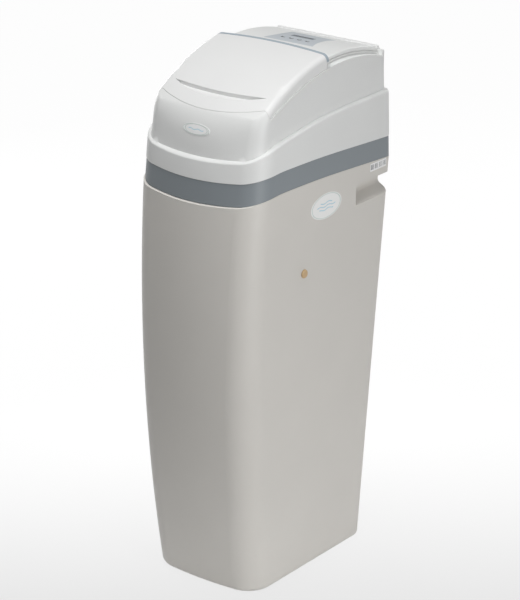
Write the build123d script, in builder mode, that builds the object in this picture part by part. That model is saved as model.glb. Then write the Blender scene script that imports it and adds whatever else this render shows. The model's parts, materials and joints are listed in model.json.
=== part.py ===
from build123d import *

import os
from math import asin, atan, cos, degrees, pi, radians, sin, sqrt, tan

# Cabinet water softener: bellied cabinet, slate band, moulded cover with a lid that slides back on rails.
#
# Millimetres, +Z up, the front faces -Y. The origin is on the floor under the middle of the overall box.

# Cabinet: outline at the floor, at the belly and just above its rim
floor_half_width = 141.0
floor_front = -207.5
floor_rear = 181.6
floor_bow = 12.0
belly_height = 522.0
belly_half_width = 151.8
belly_front = -253.8
belly_rear = 224.2
belly_bow = 21.0
rim_height = 895.0
rim_half_width = 159.5
rim_front = -235.5
rim_rear = 255.8
rim_bow = 27.5
front_corner_radius = 62.0
rear_corner_radius = 20.0
cabinet_wall = 4.0
cabinet_floor = 5.0
cabinet_foot_radius = 16.0
cabinet_floor_radius = 3.5

# Hand grips at the rear of each side
grip_front_y = 124.0
grip_top = 839.0
grip_bottom = 795.0
grip_depth = 33.0
grip_drop = 14.0
grip_roll = (6.0, 12.0)
grip_corner = 10.0

# Lines of the rim and the ledge, as (y, z) in the side view
rim_line = [(-300.0, 838.0), (-250.0, 861.0), (-205.0, 878.0), (-165.0, 886.5), (-100.0, 888.5), (0.0, 886.0),
            (130.0, 879.0), (300.0, 870.5)]
ledge_line = [(-300.0, 920.0), (-235.0, 950.0), (-205.0, 964.0), (-164.0, 984.0), (-99.0, 997.5), (0.0, 1010.5),
              (120.0, 1016.5), (300.0, 1020.0)]

# Band and the cover's lower skirt
band_height = 45.5
band_gap = 0.3
band_set_back = 0.9
band_recess = 6.5
cover_wall = 3.0
cover_tongue = 18.0
skirt_low_half_width = 160.3
skirt_low_front = -237.0
skirt_low_rear = 254.4
skirt_high_height = 1045.0
skirt_high_half_width = 157.5
skirt_high_front = -214.0
skirt_high_rear = 250.0
skirt_high_bow = 27.0
ledge_edge_radius = 4.5

# Bonnet: height, half width, front, rear, bow, front and rear corner radius
bonnet_levels = [
    (925.0, 147.5, -221.0, 245.0, 25.0, 46.0, 12.0),
    (985.0, 146.6, -211.0, 244.0, 23.0, 42.0, 11.0),
    (1025.0, 145.9, -199.0, 243.2, 18.0, 38.0, 10.0),
    (1046.0, 145.5, -185.2, 242.8, 12.0, 34.0, 10.0),
    (1070.0, 145.2, -158.5, 242.4, 10.0, 32.0, 10.0),
    (1152.0, 144.5, -122.0, 241.0, 10.0, 32.0, 10.0),
]

# Deck and rails, turned about one line along X
arc_y = 102.0
arc_z = 688.0
deck_radius = 440.0
deck_crown = 0.4
deck_half_width = 131.0
deck_edge_radius = 3.0
shoulder_radius = 424.0
groove_low_radius = 430.5
groove_high_radius = 434.5
groove_depth = 3.0
groove_front_angle = 33.0
drip_low_radius = 425.6
drip_high_radius = 427.2
drip_depth = 1.5
drip_rear_angle = -7.0
stop_y = 229.5
stop_width = 7.0
stop_height = 4.5
post_radius = 437.6

# Lid
lid_radius = 459.5
lid_crown = 6.0
lid_half_width = 143.3
lid_wall = 3.0
lid_edge_radius = 13.0
lid_seat_gap = 0.3
lid_rear_y = 33.4
lid_flange = 2.5
strip_rear_y = 40.4
strip_gap = 0.3
strip_low_radius = 438.0
runner_reach = 0.4
runner_play = 0.3
runner_angles = [(9.5, 14.5), (19.0, 24.0)]
seam_y = -183.0
seam_bow = 28.0
seam_gap = 0.8
seam_half_width = 130.0
seam_side_y = -155.0
seam_turn = 5.0
tip_radius = 7.0
lid_inset = 0.3
recess_half_width = 118.0
recess_tip_y = -129.0
recess_rear_y = -141.0
recess_front_y = -157.0
recess_slope = 8.5
recess_wall = 2.4

# Salt mouth
mouth_half_width = 118.0
mouth_front_margin = 15.0
mouth_rear = -28.0
mouth_corner_radius = 22.0
mouth_lip = 2.5
mouth_lip_depth = 14.0
shoulder_front_y = -155.0
shoulder_front_z = 1043.0

# Rear arch in the cover and band, for the pipes
arch_half_width = 85.0
arch_top = 1004.0
arch_radius = 25.0

# Nose before the lid
nose_half_width = 146.0
nose_edge_radius = 15.0
nose_level = 1018.0

# Control panel
panel_front_y = 94.0
panel_rear_y = 186.0
panel_front_half = 64.0
panel_waist_half = 54.0
panel_rear_half = 58.0
panel_thickness = 1.2
panel_gap = 0.2
panel_sink = 0.1
window_y = 148.0
window_size = (58.0, 14.0)
window_ledge = 2.5
window_corner = 2.0
key_y = 121.0
key_x = [-32.0, -11.0, 10.0, 31.0]
key_size = (13.0, 9.0)
key_corner = 3.0
key_flange = 2.0
key_flange_drop = 4.6
key_flange_thickness = 1.2
key_travel = 0.7
key_stem_radius = 2.5
key_play = 0.3
board_top = 1103.5
board_thickness = 1.6
board_size = (124.0, 72.0)
board_y = 139.0
board_hole_inset = 6.0
boss_radius = 4.5
board_screw_radius = 1.5
board_screw_head = 3.0
board_screw_length = 9.0
switch_size = 6.0
switch_height = 5.0
display_size = (66.0, 22.0)
display_height = 14.0

# Pressure vessel and what stands in it
tank_y = 45.0
tank_radius = 127.5
tank_wall = 3.5
tank_bottom = 12.0
tank_shoulder = 800.0
tank_top = 910.0
tank_low_dome = 72.0
tank_high_dome = 90.0
neck_radius = 41.0
neck_bore = 32.0
seat_gap = 0.2
foot_top = 79.0
foot_wall = 3.0
foot_bore = 104.0
resin_top = 560.0
riser_radius = 13.35
riser_wall = 2.2
riser_bottom = 40.0
riser_top = 926.0
basket_radius = 28.0
basket_bottom = 30.0
basket_height = 60.0
basket_wall = 2.0
basket_slots = 12
slot_width = 2.0
high_basket_bottom = 846.0
high_basket_top = 884.6

# Control valve: the piston slides along X
valve_z = 985.0
valve_half_length = 58.0
valve_radius = 30.0
valve_bore = 21.0
valve_end_wall = 8.0
spigot_bottom = 885.0
spigot_radius = 31.7
flange_bottom = 912.0
flange_top = 924.0
flange_radius = 50.0
column_radius = 33.0
throat_radius = 11.0
bed_port_radius = 5.0
bed_port_x = 22.5
neck_seal_ring = (36.0, 0.95)
port_x = 38.0
port_z = 960.0
port_radius = 19.0
port_bore = 13.0
port_end_y = 116.5
port_seal_ring = (16.0, 1.2)
seal_count = 5
seal_thickness = 7.0
seal_bar = 4.0
piston_radius = 13.9
piston_length = 60.0
piston_start_x = -42.0
piston_land = 8.0
piston_waist = 10.0
rod_radius = 4.0
rod_tip_x = -112.0
running_gap = 0.06
cap_thickness = 7.0
cap_plug = 7.0
cap_radius = 29.0
gear_module = 1.25
gear_teeth = 60
pinion_teeth = 12
gear_pressure_angle = 20.0
gear_backlash = 0.3
gear_face = 8.0
gear_x = -84.0
gear_window_radius = 6.0
gear_window_circle = 23.0
hub_radius = 8.0
bracket_thickness = 4.0
bracket_x = -74.0
bracket_size = (104.0, 66.0)
bracket_corner = 8.0
bracket_y = 28.0
bracket_post = 5.0
bracket_post_y = (32.0, 64.0)
bracket_post_rise = 17.0
motor_radius = 13.5
motor_length = 34.0
motor_ear_radius = 4.5
motor_ear_spread = 17.5
motor_ear_thickness = 2.0
motor_shaft = 2.5
small_screw = (1.5, 3.0, 2.0)
injector_z = 942.0
injector_radius = 15.0
injector_reach = 44.0
injector_cap = 5.0
injector_screw_spread = 10.0
elbow_radius = 7.0
elbow_drop = 43.0
elbow_bore = 3.0
elbow_start_x = 14.0
drain_rise = 52.0
drain_reach = 45.0
drain_radius = 9.0
barb_radius = 7.0
barb_root = 5.0
barb_tip = 0.6
barb_bore = 3.5
barb_count = 3
barb_pitch = 6.0
turbine_radius = 12.0
turbine_hub = 4.0
turbine_pin = 1.5
turbine_y = 80.0
turbine_length = 12.0
turbine_blades = 6
turbine_blade = 1.4

# Bypass
bypass_start_y = 119.1
bypass_end_y = 248.0
bypass_tube_radius = 17.0
bypass_bore = 11.0
collar_length = 4.0
thread_radius = 16.6
thread_length = 26.0
rotor_y = 172.0
rotor_radius = 15.0
rotor_housing = 20.0
rotor_floor = 942.0
rotor_roof = 982.0
bridge_radius = 13.0
lever_length = 62.0
lever_width = 12.0
lever_top = 994.0
nut_radius = 24.0
nut_start_y = 104.0
nut_lip = 3.0

# Brine well
well_x = 82.0
well_y = -143.0
well_radius = 45.0
well_wall = 2.5
well_top = 820.0
well_slots = 8
well_slot_height = 50.0
cap_lip = 3.0
pickup_offset = 22.0
tube_radius = 4.0
tube_wall = 1.0
tube_share = 0.45
float_offset = -20.0
float_radius = 18.0
float_height = 60.0
float_base = 420.0
float_rod_radius = 2.5
float_play = 0.4
safety_base = 735.0
safety_height = 40.0
safety_radius = 17.0
air_check_bottom = 40.0
air_check_top = 110.0
air_check_radius = 11.0

# Salt grid
grid_top = 124.0
grid_thickness = 4.0
grid_clearance = 1.5
grid_slot = (4.0, 30.0)
grid_pitch = (14.0, 38.0)
grid_counts = (8, 2)
grid_field = (-35.0, -137.0)
grid_leg_radius = 7.0
grid_legs = [(-95.0, -110.0), (-95.0, -160.0), (24.0, -165.0), (18.0, -100.0), (126.0, -84.0)]

# Labels, badge, plug and cord gland
badge_x = -3.0
badge_z = 1011.0
badge_size = (70.0, 23.0)
badge_sink = 0.8
badge_proud = 0.5
badge_gap = 0.15
label_y = 19.0
label_z = 822.0
label_size = (105.0, 55.0)
label_skin = (0.03, 0.33)
mark_y = 201.5
mark_z = 863.0
mark_size = (57.0, 17.0)
plug_y = -53.0
plug_z = 693.0
plug_radius = 9.5
plug_head = 3.8
plug_stem = 7.8
plug_gap = 0.6
plug_nut_radius = 14.0
plug_nut_height = 5.0
gland_x = 112.0
gland_z = 950.0
gland_flange = (12.0, 2.5)
gland_barrel = (7.5, 24.0)
gland_nut = (12.5, 6.0)
cord_bore = 4.0
gland_tilt = 0.04
fit_gap = 0.3

# Limits for the tools that cut the forms
reach = 320.0
skirt_bottom = 845.0
nose_floor = 1000.0
view_top = 1300.0
view_front = -330.0
arc_core = 300.0
arc_margin = 20.0

# Worked out from the sizes above
arc_axis = Axis((0, arc_y, arc_z), (1, 0, 0))
lid_rear_angle = degrees(asin((arc_y - lid_rear_y) / lid_radius))
strip_rear_angle = degrees(asin((arc_y - strip_rear_y) / lid_radius))
stop_angle = -degrees(asin((stop_y - arc_y) / deck_radius))
cabinet_levels = [
    (0.0, floor_half_width, floor_front, floor_rear, floor_bow, front_corner_radius, rear_corner_radius),
    (belly_height, belly_half_width, belly_front, belly_rear, belly_bow, front_corner_radius, rear_corner_radius),
    (rim_height, rim_half_width, rim_front, rim_rear, rim_bow, front_corner_radius, rear_corner_radius),
]
skirt_levels = [
    (skirt_bottom, skirt_low_half_width, skirt_low_front, skirt_low_rear, rim_bow, front_corner_radius,
     rear_corner_radius),
    (skirt_high_height, skirt_high_half_width, skirt_high_front, skirt_high_rear, skirt_high_bow,
     front_corner_radius, rear_corner_radius),
]


def outline(half_width, front, rear, bow, front_radius, rear_radius, inset=0.0):
    """Plan outline with a bowed front, straight sides and back and rounded corners, drawn in by inset."""
    with BuildSketch() as plan:
        with BuildLine():
            left = (-half_width, front + bow)
            right = (half_width, front + bow)
            ThreePointArc(left, (0, front), right)
            Polyline(right, (half_width, rear), (-half_width, rear), left)
        make_face()
        fillet(plan.vertices().sort_by(Axis.Y)[-2:], rear_radius)
        fillet(plan.vertices().sort_by(Axis.Y)[:2], front_radius)
        if inset:
            offset(amount=-inset, kind=Kind.INTERSECTION)
    return plan.sketch


def loft_form(levels, inset):
    """Closed form through plan outlines at their heights, drawn in by inset."""
    with BuildPart() as form:
        for height, *sizes in levels:
            with BuildSketch(Plane.XY.offset(height)):
                add(outline(*sizes, inset))
        loft()
    return form.part


def side_region(line, lift, level):
    """Block across the whole width between a side-view line, raised by lift, and a level height."""
    points = [(y, z + lift) for y, z in line]
    with BuildPart() as region:
        with BuildSketch(Plane.YZ.offset(-reach)):
            with BuildLine():
                Spline(*points)
                Polyline(points[-1], (points[-1][0], level), (points[0][0], level), points[0])
            make_face()
        extrude(amount=2 * reach)
    return region.part


def skirt_form(inset, tongue):
    """Closed form of the cover's lower skirt: set back behind the band, with a tongue below the rim line."""
    with BuildPart() as upper:
        add(loft_form(skirt_levels, inset))
        add(side_region(ledge_line, -inset, view_top), mode=Mode.SUBTRACT)
        if not inset:
            fillet(upper.faces().sort_by(Axis.Z)[-1].edges(), ledge_edge_radius)
        add(side_region(rim_line, band_height + inset, 0), mode=Mode.SUBTRACT)
    with BuildPart() as form:
        add(loft_form(skirt_levels, inset + band_recess))
        add(side_region(ledge_line, -inset - band_recess, view_top), mode=Mode.SUBTRACT)
        add(side_region(rim_line, -tongue, 0), mode=Mode.SUBTRACT)
        add(upper.part)
    return form.part


def arc_plane(angle):
    """Plane through the rails' axis, turned forward by angle, with X across and Y outwards."""
    lean = radians(angle)
    return Plane(origin=(0, arc_y, arc_z), x_dir=(1, 0, 0), z_dir=(0, -cos(lean), -sin(lean)))


def arc_solid(radius, half_width, edge_radius, start, end, crown=deck_crown):
    """Crowned block turned about the rails' axis, from one forward angle to another."""
    with BuildPart() as block:
        with BuildSketch(arc_plane(start)) as face:
            with BuildLine():
                drop = crown * (half_width / deck_half_width) ** 2
                left = (-half_width, radius - drop)
                right = (half_width, radius - drop)
                ThreePointArc(left, (0, radius), right)
                Polyline(right, (half_width, arc_core), (-half_width, arc_core), left)
            make_face()
            if edge_radius:
                fillet(face.vertices().sort_by(Axis.Y)[-2:], edge_radius)
        revolve(axis=arc_axis, revolution_arc=end - start)
    return block.part


def arc_ring(inner, outer, half_width, start, end, crown=deck_crown):
    """Plate between two radii, turned about the rails' axis, its outer face crowned."""
    with BuildPart() as ring:
        add(arc_solid(outer, half_width, 0, start, end, crown))
        add(arc_solid(inner, half_width + arc_margin, 0, start - 1, end + 1), mode=Mode.SUBTRACT)
    return ring.part


def under_shoulder(lift):
    """Block under the shoulder line, raised by lift: an arc about the rails' axis, then a flatter arc forward."""
    with BuildPart() as block:
        with BuildSketch(Plane.YZ.offset(-reach)):
            with BuildLine():
                rear_arc = CenterArc((arc_y, arc_z), shoulder_radius + lift, 60, 30 + lid_rear_angle)
                front = (shoulder_front_y, shoulder_front_z + lift)
                TangentArc(rear_arc @ 1, front, tangent=rear_arc % 1)
                Polyline(front, (shoulder_front_y, nose_level), (view_front, nose_level),
                         (view_front, skirt_bottom), ((rear_arc @ 0).X, skirt_bottom), rear_arc @ 0)
            make_face()
        extrude(amount=2 * reach)
    return block.part


def behind_seam(gap):
    """Block behind the lid's front seam, moved back by gap: a bow that turns back at the corners."""
    ends = seam_y + seam_bow + gap
    side = seam_side_y + gap
    corner = seam_half_width + seam_turn
    with BuildPart() as block:
        with BuildSketch(Plane.XY.offset(nose_floor)):
            with BuildLine():
                ThreePointArc((-seam_half_width, ends), (0, seam_y + gap), (seam_half_width, ends))
                Polyline((seam_half_width, ends), (corner, side), (reach, side), (reach, reach),
                         (-reach, reach), (-reach, side), (-corner, side), (-seam_half_width, ends))
            make_face()
        extrude(amount=view_top - nose_floor)
    return block.part


def mouth_block(grow):
    """Upright block through the salt mouth, grown all round."""
    half = mouth_half_width + grow
    front = seam_y + mouth_front_margin - grow
    bow = seam_bow * (half / seam_half_width) ** 2
    with BuildPart() as block:
        with BuildSketch(Plane.XY.offset(nose_floor)) as plan:
            with BuildLine():
                ThreePointArc((-half, front + bow), (0, front), (half, front + bow))
                Polyline((half, front + bow), (half, mouth_rear + grow), (-half, mouth_rear + grow),
                         (-half, front + bow))
            make_face()
            fillet(plan.vertices(), mouth_corner_radius + grow)
        extrude(amount=view_top - nose_floor)
    return block.part


def housing_form(inset, tongue):
    """Closed form of the whole cover: skirt, bonnet walls, deck between the rails and nose before the lid."""
    bonnet = loft_form(bonnet_levels, inset)
    with BuildPart() as walls:
        add(bonnet)
        add(under_shoulder(-inset), mode=Mode.INTERSECT)
    with BuildPart() as deck:
        add(bonnet)
        add(arc_solid(deck_radius - inset, deck_half_width - 2 * inset, deck_edge_radius, -30, 50),
            mode=Mode.INTERSECT)
    with BuildPart() as nose:
        add(bonnet)
        add(arc_solid(lid_radius - inset, nose_half_width - inset, nose_edge_radius - inset, 20, 70, lid_crown),
            mode=Mode.INTERSECT)
        add(behind_seam(-inset), mode=Mode.SUBTRACT)
    with BuildPart() as form:
        add(skirt_form(inset, tongue))
        add(walls.part)
        add(deck.part)
        add(nose.part)
    return form.part


def rail_cut(low, high, depth, start, end):
    """Pair of grooves in the sides of the deck, between two radii."""
    with BuildPart() as cut:
        add(arc_ring(low, high, deck_half_width + arc_margin / 2, start, end))
        with Locations((0, arc_y, arc_z + deck_radius)):
            Box(2 * (deck_half_width - depth), 2 * reach, 2 * reach, mode=Mode.SUBTRACT)
    return cut.part


def panel_block(grow):
    """Upright block through the control panel's outline, with hollow sides, grown all round."""
    front, rear = panel_front_y - grow, panel_rear_y + grow
    wide, waist, narrow = panel_front_half + grow, panel_waist_half + grow, panel_rear_half + grow
    middle = (front + rear) / 2
    with BuildPart() as block:
        with BuildSketch(Plane.XY.offset(nose_floor)):
            with BuildLine():
                Line((-wide, front), (wide, front))
                ThreePointArc((wide, front), (waist, middle), (narrow, rear))
                Line((narrow, rear), (-narrow, rear))
                ThreePointArc((-narrow, rear), (-waist, middle), (-wide, front))
            make_face()
        extrude(amount=view_top - nose_floor)
    return block.part


def upright_slot(x, y, size, corner, grow=0.0):
    """Upright rounded block through the deck."""
    with BuildPart() as block:
        with BuildSketch(Plane.XY.offset(nose_floor)):
            with Locations((x, y)):
                RectangleRounded(size[0] + 2 * grow, size[1] + 2 * grow, corner + grow)
        extrude(amount=view_top - nose_floor)
    return block.part


def deck_plate(block, low, high):
    """Part of the deck's curved skin, between two depths below its surface, inside an upright block."""
    with BuildPart() as plate:
        add(block)
        add(arc_ring(deck_radius - low, deck_radius - high, deck_half_width, -30, 30), mode=Mode.INTERSECT)
    return plate.part


def skin_plate(levels, block, inner, outer):
    """Part of a lofted skin between two insets, inside a block."""
    with BuildPart() as plate:
        add(loft_form(levels, outer))
        add(loft_form(levels, inner), mode=Mode.SUBTRACT)
        add(block, mode=Mode.INTERSECT)
    return plate.part


def badge_block(grow):
    """Block through the front badge's oval."""
    with BuildPart() as block:
        with BuildSketch(Plane.XZ.offset(-bonnet_levels[3][2])):
            with Locations((badge_x, badge_z)):
                Ellipse(badge_size[0] / 2 + grow, badge_size[1] / 2 + grow)
        extrude(amount=reach)
    return block.part


def tip_fill(gap):
    """Blocks that round the lid's lower front corners, drawn back from the round by gap."""
    with BuildPart() as block:
        with BuildSketch(Plane.YZ.offset(-reach)):
            with Locations((seam_side_y + tip_radius / 2, shoulder_front_z + tip_radius / 2)):
                Rectangle(tip_radius + 2 * seam_gap, tip_radius + 2 * seam_gap)
            with Locations((seam_side_y + seam_gap + tip_radius, shoulder_front_z + tip_radius)):
                Circle(tip_radius + gap, mode=Mode.SUBTRACT)
        extrude(amount=2 * reach)
        Box(2 * seam_half_width, 2 * reach, 3 * view_top, mode=Mode.SUBTRACT)
    return block.part


def over_recess(lift):
    """Block above the sloping floor of the finger recess, raised by lift."""
    rise = tan(radians(recess_slope))
    floor_z = arc_z + sqrt(lid_radius ** 2 - (arc_y - recess_front_y) ** 2) + lift
    with BuildPart() as block:
        with BuildSketch(Plane.YZ.offset(-reach)):
            with BuildLine():
                low = (view_front, floor_z + rise * (view_front - recess_front_y))
                high = (reach, floor_z + rise * (reach - recess_front_y))
                Polyline(low, high, (reach, view_top), (view_front, view_top), low)
            make_face()
        extrude(amount=2 * reach)
    return block.part


def recess_block(grow):
    """Upright block through the lid's crescent finger recess."""
    half = recess_half_width + 2 * grow
    with BuildPart() as block:
        with BuildSketch(Plane.XY.offset(nose_floor)):
            with BuildLine():
                ThreePointArc((-half, recess_tip_y), (0, recess_rear_y + grow), (half, recess_tip_y))
                ThreePointArc((half, recess_tip_y), (0, recess_front_y - grow), (-half, recess_tip_y))
            make_face()
        extrude(amount=view_top - nose_floor)
    return block.part


def post(x, y, z, radius, height, axis=Axis.Z):
    """Round bar from a point along one of the three directions."""
    turns = {Axis.X: (0, 90, 0), Axis.Y: (-90, 0, 0), Axis.Z: (0, 0, 0)}
    with BuildPart() as bar:
        with Locations(Location((x, y, z), turns[axis])):
            Cylinder(radius, height, align=(Align.CENTER, Align.CENTER, Align.MIN))
    return bar.part


def grip_form(grow):
    """Hand grips at the rear of both sides, open to the side and the rear, grown all round."""
    wall = wall_x(grip_front_y, (grip_top + grip_bottom) / 2)
    inner = wall - grip_depth - grow
    outer = rim_half_width + grip_depth
    high, low = grip_top + grow, grip_bottom - grow
    across, down = grip_roll
    with BuildPart() as form:
        with BuildSketch(Plane.XZ.offset(-(grip_front_y - grow))) as face:
            with BuildLine():
                Polyline((outer, high), (inner, high), (inner, low + grip_drop), (wall - across, low),
                         (outer, low - down), (outer, high))
            make_face()
            fillet(face.vertices().sort_by(Axis.X)[:3], grip_corner)
        extrude(amount=-reach)
        fillet(form.faces().sort_by(Axis.Y)[0].edges().filter_by(Axis.X, reverse=True).sort_by(Axis.X)[:3],
               grip_corner / 2)
        mirror(about=Plane.YZ)
    return form.part


def wall_x(y, z):
    """Where the cabinet's outer face is on the right-hand side."""
    with BuildPart() as probe:
        add(post(0, y, z, 1, reach, Axis.X))
        add(loft_form(cabinet_levels, 0), mode=Mode.INTERSECT)
    return probe.part.bounding_box().max.X


def arch_block():
    """Block through the rear arch, open downwards."""
    with BuildPart() as block:
        with BuildSketch(Plane.XZ.offset(-(skirt_high_rear - 8 * cover_wall))) as face:
            with BuildLine():
                Polyline((-arch_half_width, skirt_bottom), (-arch_half_width, arch_top), (arch_half_width, arch_top),
                         (arch_half_width, skirt_bottom), (-arch_half_width, skirt_bottom))
            make_face()
            fillet(face.vertices().sort_by(Axis.Y)[-2:], arch_radius)
        extrude(amount=-reach)
    return block.part


def sleeve(x, y, z, outer, inner, height, axis=Axis.Z):
    """Round bar with a round bore through it."""
    with BuildPart() as tube:
        add(post(x, y, z, outer, height, axis))
        add(post(x, y, z, inner, height, axis), mode=Mode.SUBTRACT)
    return tube.part


def ring_seal(x, y, z, radius, section, axis=Axis.Z):
    """Round cord seal about a point."""
    turns = {Axis.Y: (-90, 0, 0), Axis.Z: (0, 0, 0)}
    with BuildPart() as seal:
        with Locations(Location((x, y, z), turns[axis])):
            Torus(radius, section)
    return seal.part


def gear_outline(teeth, phase):
    """Involute gear outline, one tooth turned by phase from the sketch's X."""
    pitch = gear_module * teeth / 2
    base = pitch * cos(radians(gear_pressure_angle))
    root, tip = pitch - 1.4 * gear_module, pitch + 0.8 * gear_module
    half_tooth = pi / (2 * teeth) - gear_backlash / (2 * pitch)
    start = sqrt(max(root, base) ** 2 / base ** 2 - 1)
    finish = sqrt(tip ** 2 / base ** 2 - 1)
    lean = tan(radians(gear_pressure_angle)) - radians(gear_pressure_angle)
    flank = []
    for step in range(4):
        roll = start + (finish - start) * step / 3
        flank.append((base * sqrt(1 + roll ** 2), half_tooth + lean - (roll - atan(roll))))
    points = []
    for tooth in range(teeth):
        middle = radians(phase) + 2 * pi * tooth / teeth
        side = [(root, flank[0][1])] + flank if root < base else flank
        for radius, angle in side:
            points.append((radius * cos(middle - angle), radius * sin(middle - angle)))
        for radius, angle in reversed(side):
            points.append((radius * cos(middle + angle), radius * sin(middle + angle)))
    with BuildSketch() as plan:
        with BuildLine():
            Polyline(*points, close=True)
        make_face()
    return plan.sketch


def gear_plane(x, y):
    """Plane facing along X through a gear's middle, with its own X towards the cabinet's rear."""
    return Plane(origin=(x, y, valve_z), x_dir=(0, 1, 0), z_dir=(1, 0, 0))


def tank_form(inset):
    """Closed form of the pressure vessel: low dome, straight wall and high dome, drawn in by inset."""
    radius = tank_radius - inset
    low, high = tank_low_dome - inset, tank_high_dome - inset
    low_middle = tank_bottom + tank_low_dome
    with BuildPart() as form:
        with BuildSketch(Plane.XZ.offset(-tank_y)):
            with BuildLine():
                EllipticalCenterArc((0, low_middle), radius, low, start_angle=270, arc_size=90)
                Line((radius, low_middle), (radius, tank_shoulder))
                EllipticalCenterArc((0, tank_shoulder), radius, high, start_angle=0, arc_size=90)
                Line((0, tank_shoulder + high), (0, low_middle - low))
            make_face()
        revolve(axis=Axis((0, tank_y, 0), (0, 0, 1)))
    return form.part


def basket(bottom, top, closed):
    """Slotted basket round the riser tube, closed at its foot or open."""
    with BuildPart() as cage:
        add(sleeve(0, tank_y, bottom, basket_radius, riser_radius + seat_gap, top - bottom))
        add(sleeve(0, tank_y, bottom + basket_wall, basket_radius - basket_wall,
                   riser_radius + seat_gap + basket_wall, top - bottom - 2 * basket_wall), mode=Mode.SUBTRACT)
        if closed:
            add(post(0, tank_y, bottom, riser_radius + seat_gap, basket_wall))
        with Locations((0, tank_y, (bottom + top) / 2)):
            with PolarLocations((basket_radius + riser_radius) / 2 + basket_wall, basket_slots):
                Box(basket_radius, slot_width, top - bottom - 6 * basket_wall, mode=Mode.SUBTRACT)
        add(sleeve(0, tank_y, bottom, riser_radius + seat_gap + basket_wall, riser_radius + seat_gap, top - bottom))
    return cage.part


def small_screws(places, axis):
    """Identical round-headed screws, their heads standing on the places and their shanks running back."""
    shank, head, rise = small_screw
    with BuildPart() as screws:
        for x, y, z in places:
            if axis == Axis.X:
                add(post(x - rise, y, z, head, rise, axis))
                add(post(x, y, z, shank, 3 * rise, axis))
            else:
                add(post(x, y - rise, z, head, rise, axis))
                add(post(x, y, z, shank, 3 * rise, axis))
    return screws.part


# Cabinet
with BuildPart() as tank_space:
    add(loft_form(cabinet_levels, cabinet_wall))
    with Locations((0, 0, cabinet_floor / 2)):
        Box(2 * reach, 2 * reach, cabinet_floor, mode=Mode.SUBTRACT)
    fillet(tank_space.faces().sort_by(Axis.Z)[0].edges(), cabinet_floor_radius)

with BuildPart() as grip_walls:
    add(grip_form(cabinet_wall))
    add(loft_form(cabinet_levels, cabinet_wall / 2), mode=Mode.INTERSECT)

with BuildPart() as cabinet:
    add(loft_form(cabinet_levels, 0))
    fillet(cabinet.faces().sort_by(Axis.Z)[0].edges(), cabinet_foot_radius)
    add(tank_space.part, mode=Mode.SUBTRACT)
    add(grip_walls.part)
    add(grip_form(0), mode=Mode.SUBTRACT)
    add(side_region(rim_line, 0, view_top), mode=Mode.SUBTRACT)
    with Locations(Location((rim_half_width, plug_y, plug_z), (0, 90, 0))):
        Cylinder(plug_stem + fit_gap, 12 * cabinet_wall, mode=Mode.SUBTRACT)
cabinet.part.label = "cabinet"

with BuildPart() as trim_band:
    add(loft_form(skirt_levels, band_set_back))
    add(loft_form(skirt_levels, band_recess - band_gap), mode=Mode.SUBTRACT)
    add(side_region(rim_line, band_gap, 0), mode=Mode.SUBTRACT)
    add(side_region(rim_line, band_height - band_gap, view_top), mode=Mode.SUBTRACT)
    add(arch_block(), mode=Mode.SUBTRACT)
trim_band.part.label = "trim_band"

# Top cover
with BuildPart() as rear_posts:
    add(loft_form(bonnet_levels, 0))
    add(arc_solid(post_radius, lid_half_width, deck_edge_radius, -30, 0), mode=Mode.INTERSECT)
    with Locations((0, stop_y + stop_width / 2 - reach, arc_z)):
        Box(2 * reach, 2 * reach, 4 * reach, mode=Mode.SUBTRACT)

with BuildPart() as tip_rounds:
    add(tip_fill(seam_gap))
    add(loft_form(bonnet_levels, 0), mode=Mode.INTERSECT)
    add(arc_solid(lid_radius, nose_half_width, nose_edge_radius, 20, 70, lid_crown), mode=Mode.INTERSECT)

with BuildPart() as mouth_collar:
    add(mouth_block(mouth_lip))
    add(arc_ring(deck_radius - cover_wall - mouth_lip_depth, deck_radius - cover_wall / 2, deck_half_width, -10, 60),
        mode=Mode.INTERSECT)

with BuildPart() as board_bosses:
    with Locations((0, board_y, board_top)):
        with GridLocations(board_size[0] - 2 * board_hole_inset, board_size[1] - 2 * board_hole_inset, 2, 2):
            Cylinder(boss_radius, view_top - board_top, align=(Align.CENTER, Align.CENTER, Align.MIN))
            Hole(board_screw_radius + running_gap)
    add(arc_solid(deck_radius - cover_wall / 2, deck_half_width, 0, -30, 30), mode=Mode.INTERSECT)

with BuildPart() as top_cover:
    add(housing_form(0, cover_tongue))
    add(rear_posts.part)
    add(arc_solid(deck_radius + stop_height, deck_half_width, deck_edge_radius,
                  stop_angle - degrees(stop_width / deck_radius), stop_angle))
    add(housing_form(cover_wall, view_top), mode=Mode.SUBTRACT)
    add(tip_rounds.part)
    add(mouth_collar.part)
    add(mouth_block(0), mode=Mode.SUBTRACT)
    add(rail_cut(groove_low_radius, groove_high_radius, groove_depth, stop_angle - fit_gap, groove_front_angle),
        mode=Mode.SUBTRACT)
    add(rail_cut(drip_low_radius, drip_high_radius, drip_depth, drip_rear_angle, groove_front_angle),
        mode=Mode.SUBTRACT)
    add(arch_block(), mode=Mode.SUBTRACT)
    add(board_bosses.part)
    add(deck_plate(panel_block(0), panel_sink + panel_thickness, -panel_sink), mode=Mode.SUBTRACT)
    add(upright_slot(0, window_y, (window_size[0] - 2 * window_ledge, window_size[1] - 2 * window_ledge),
                     window_corner), mode=Mode.SUBTRACT)
    for x in key_x:
        add(upright_slot(x, key_y, key_size, key_corner, key_play), mode=Mode.SUBTRACT)
    add(skin_plate(bonnet_levels, badge_block(badge_gap), badge_sink, -badge_proud), mode=Mode.SUBTRACT)
    with Locations(Location((gland_x, skirt_low_rear, gland_z), (90, 0, 0))):
        Cylinder(gland_barrel[0] + fit_gap, 8 * cover_wall, mode=Mode.SUBTRACT)
top_cover.part.label = "top_cover"

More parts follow.
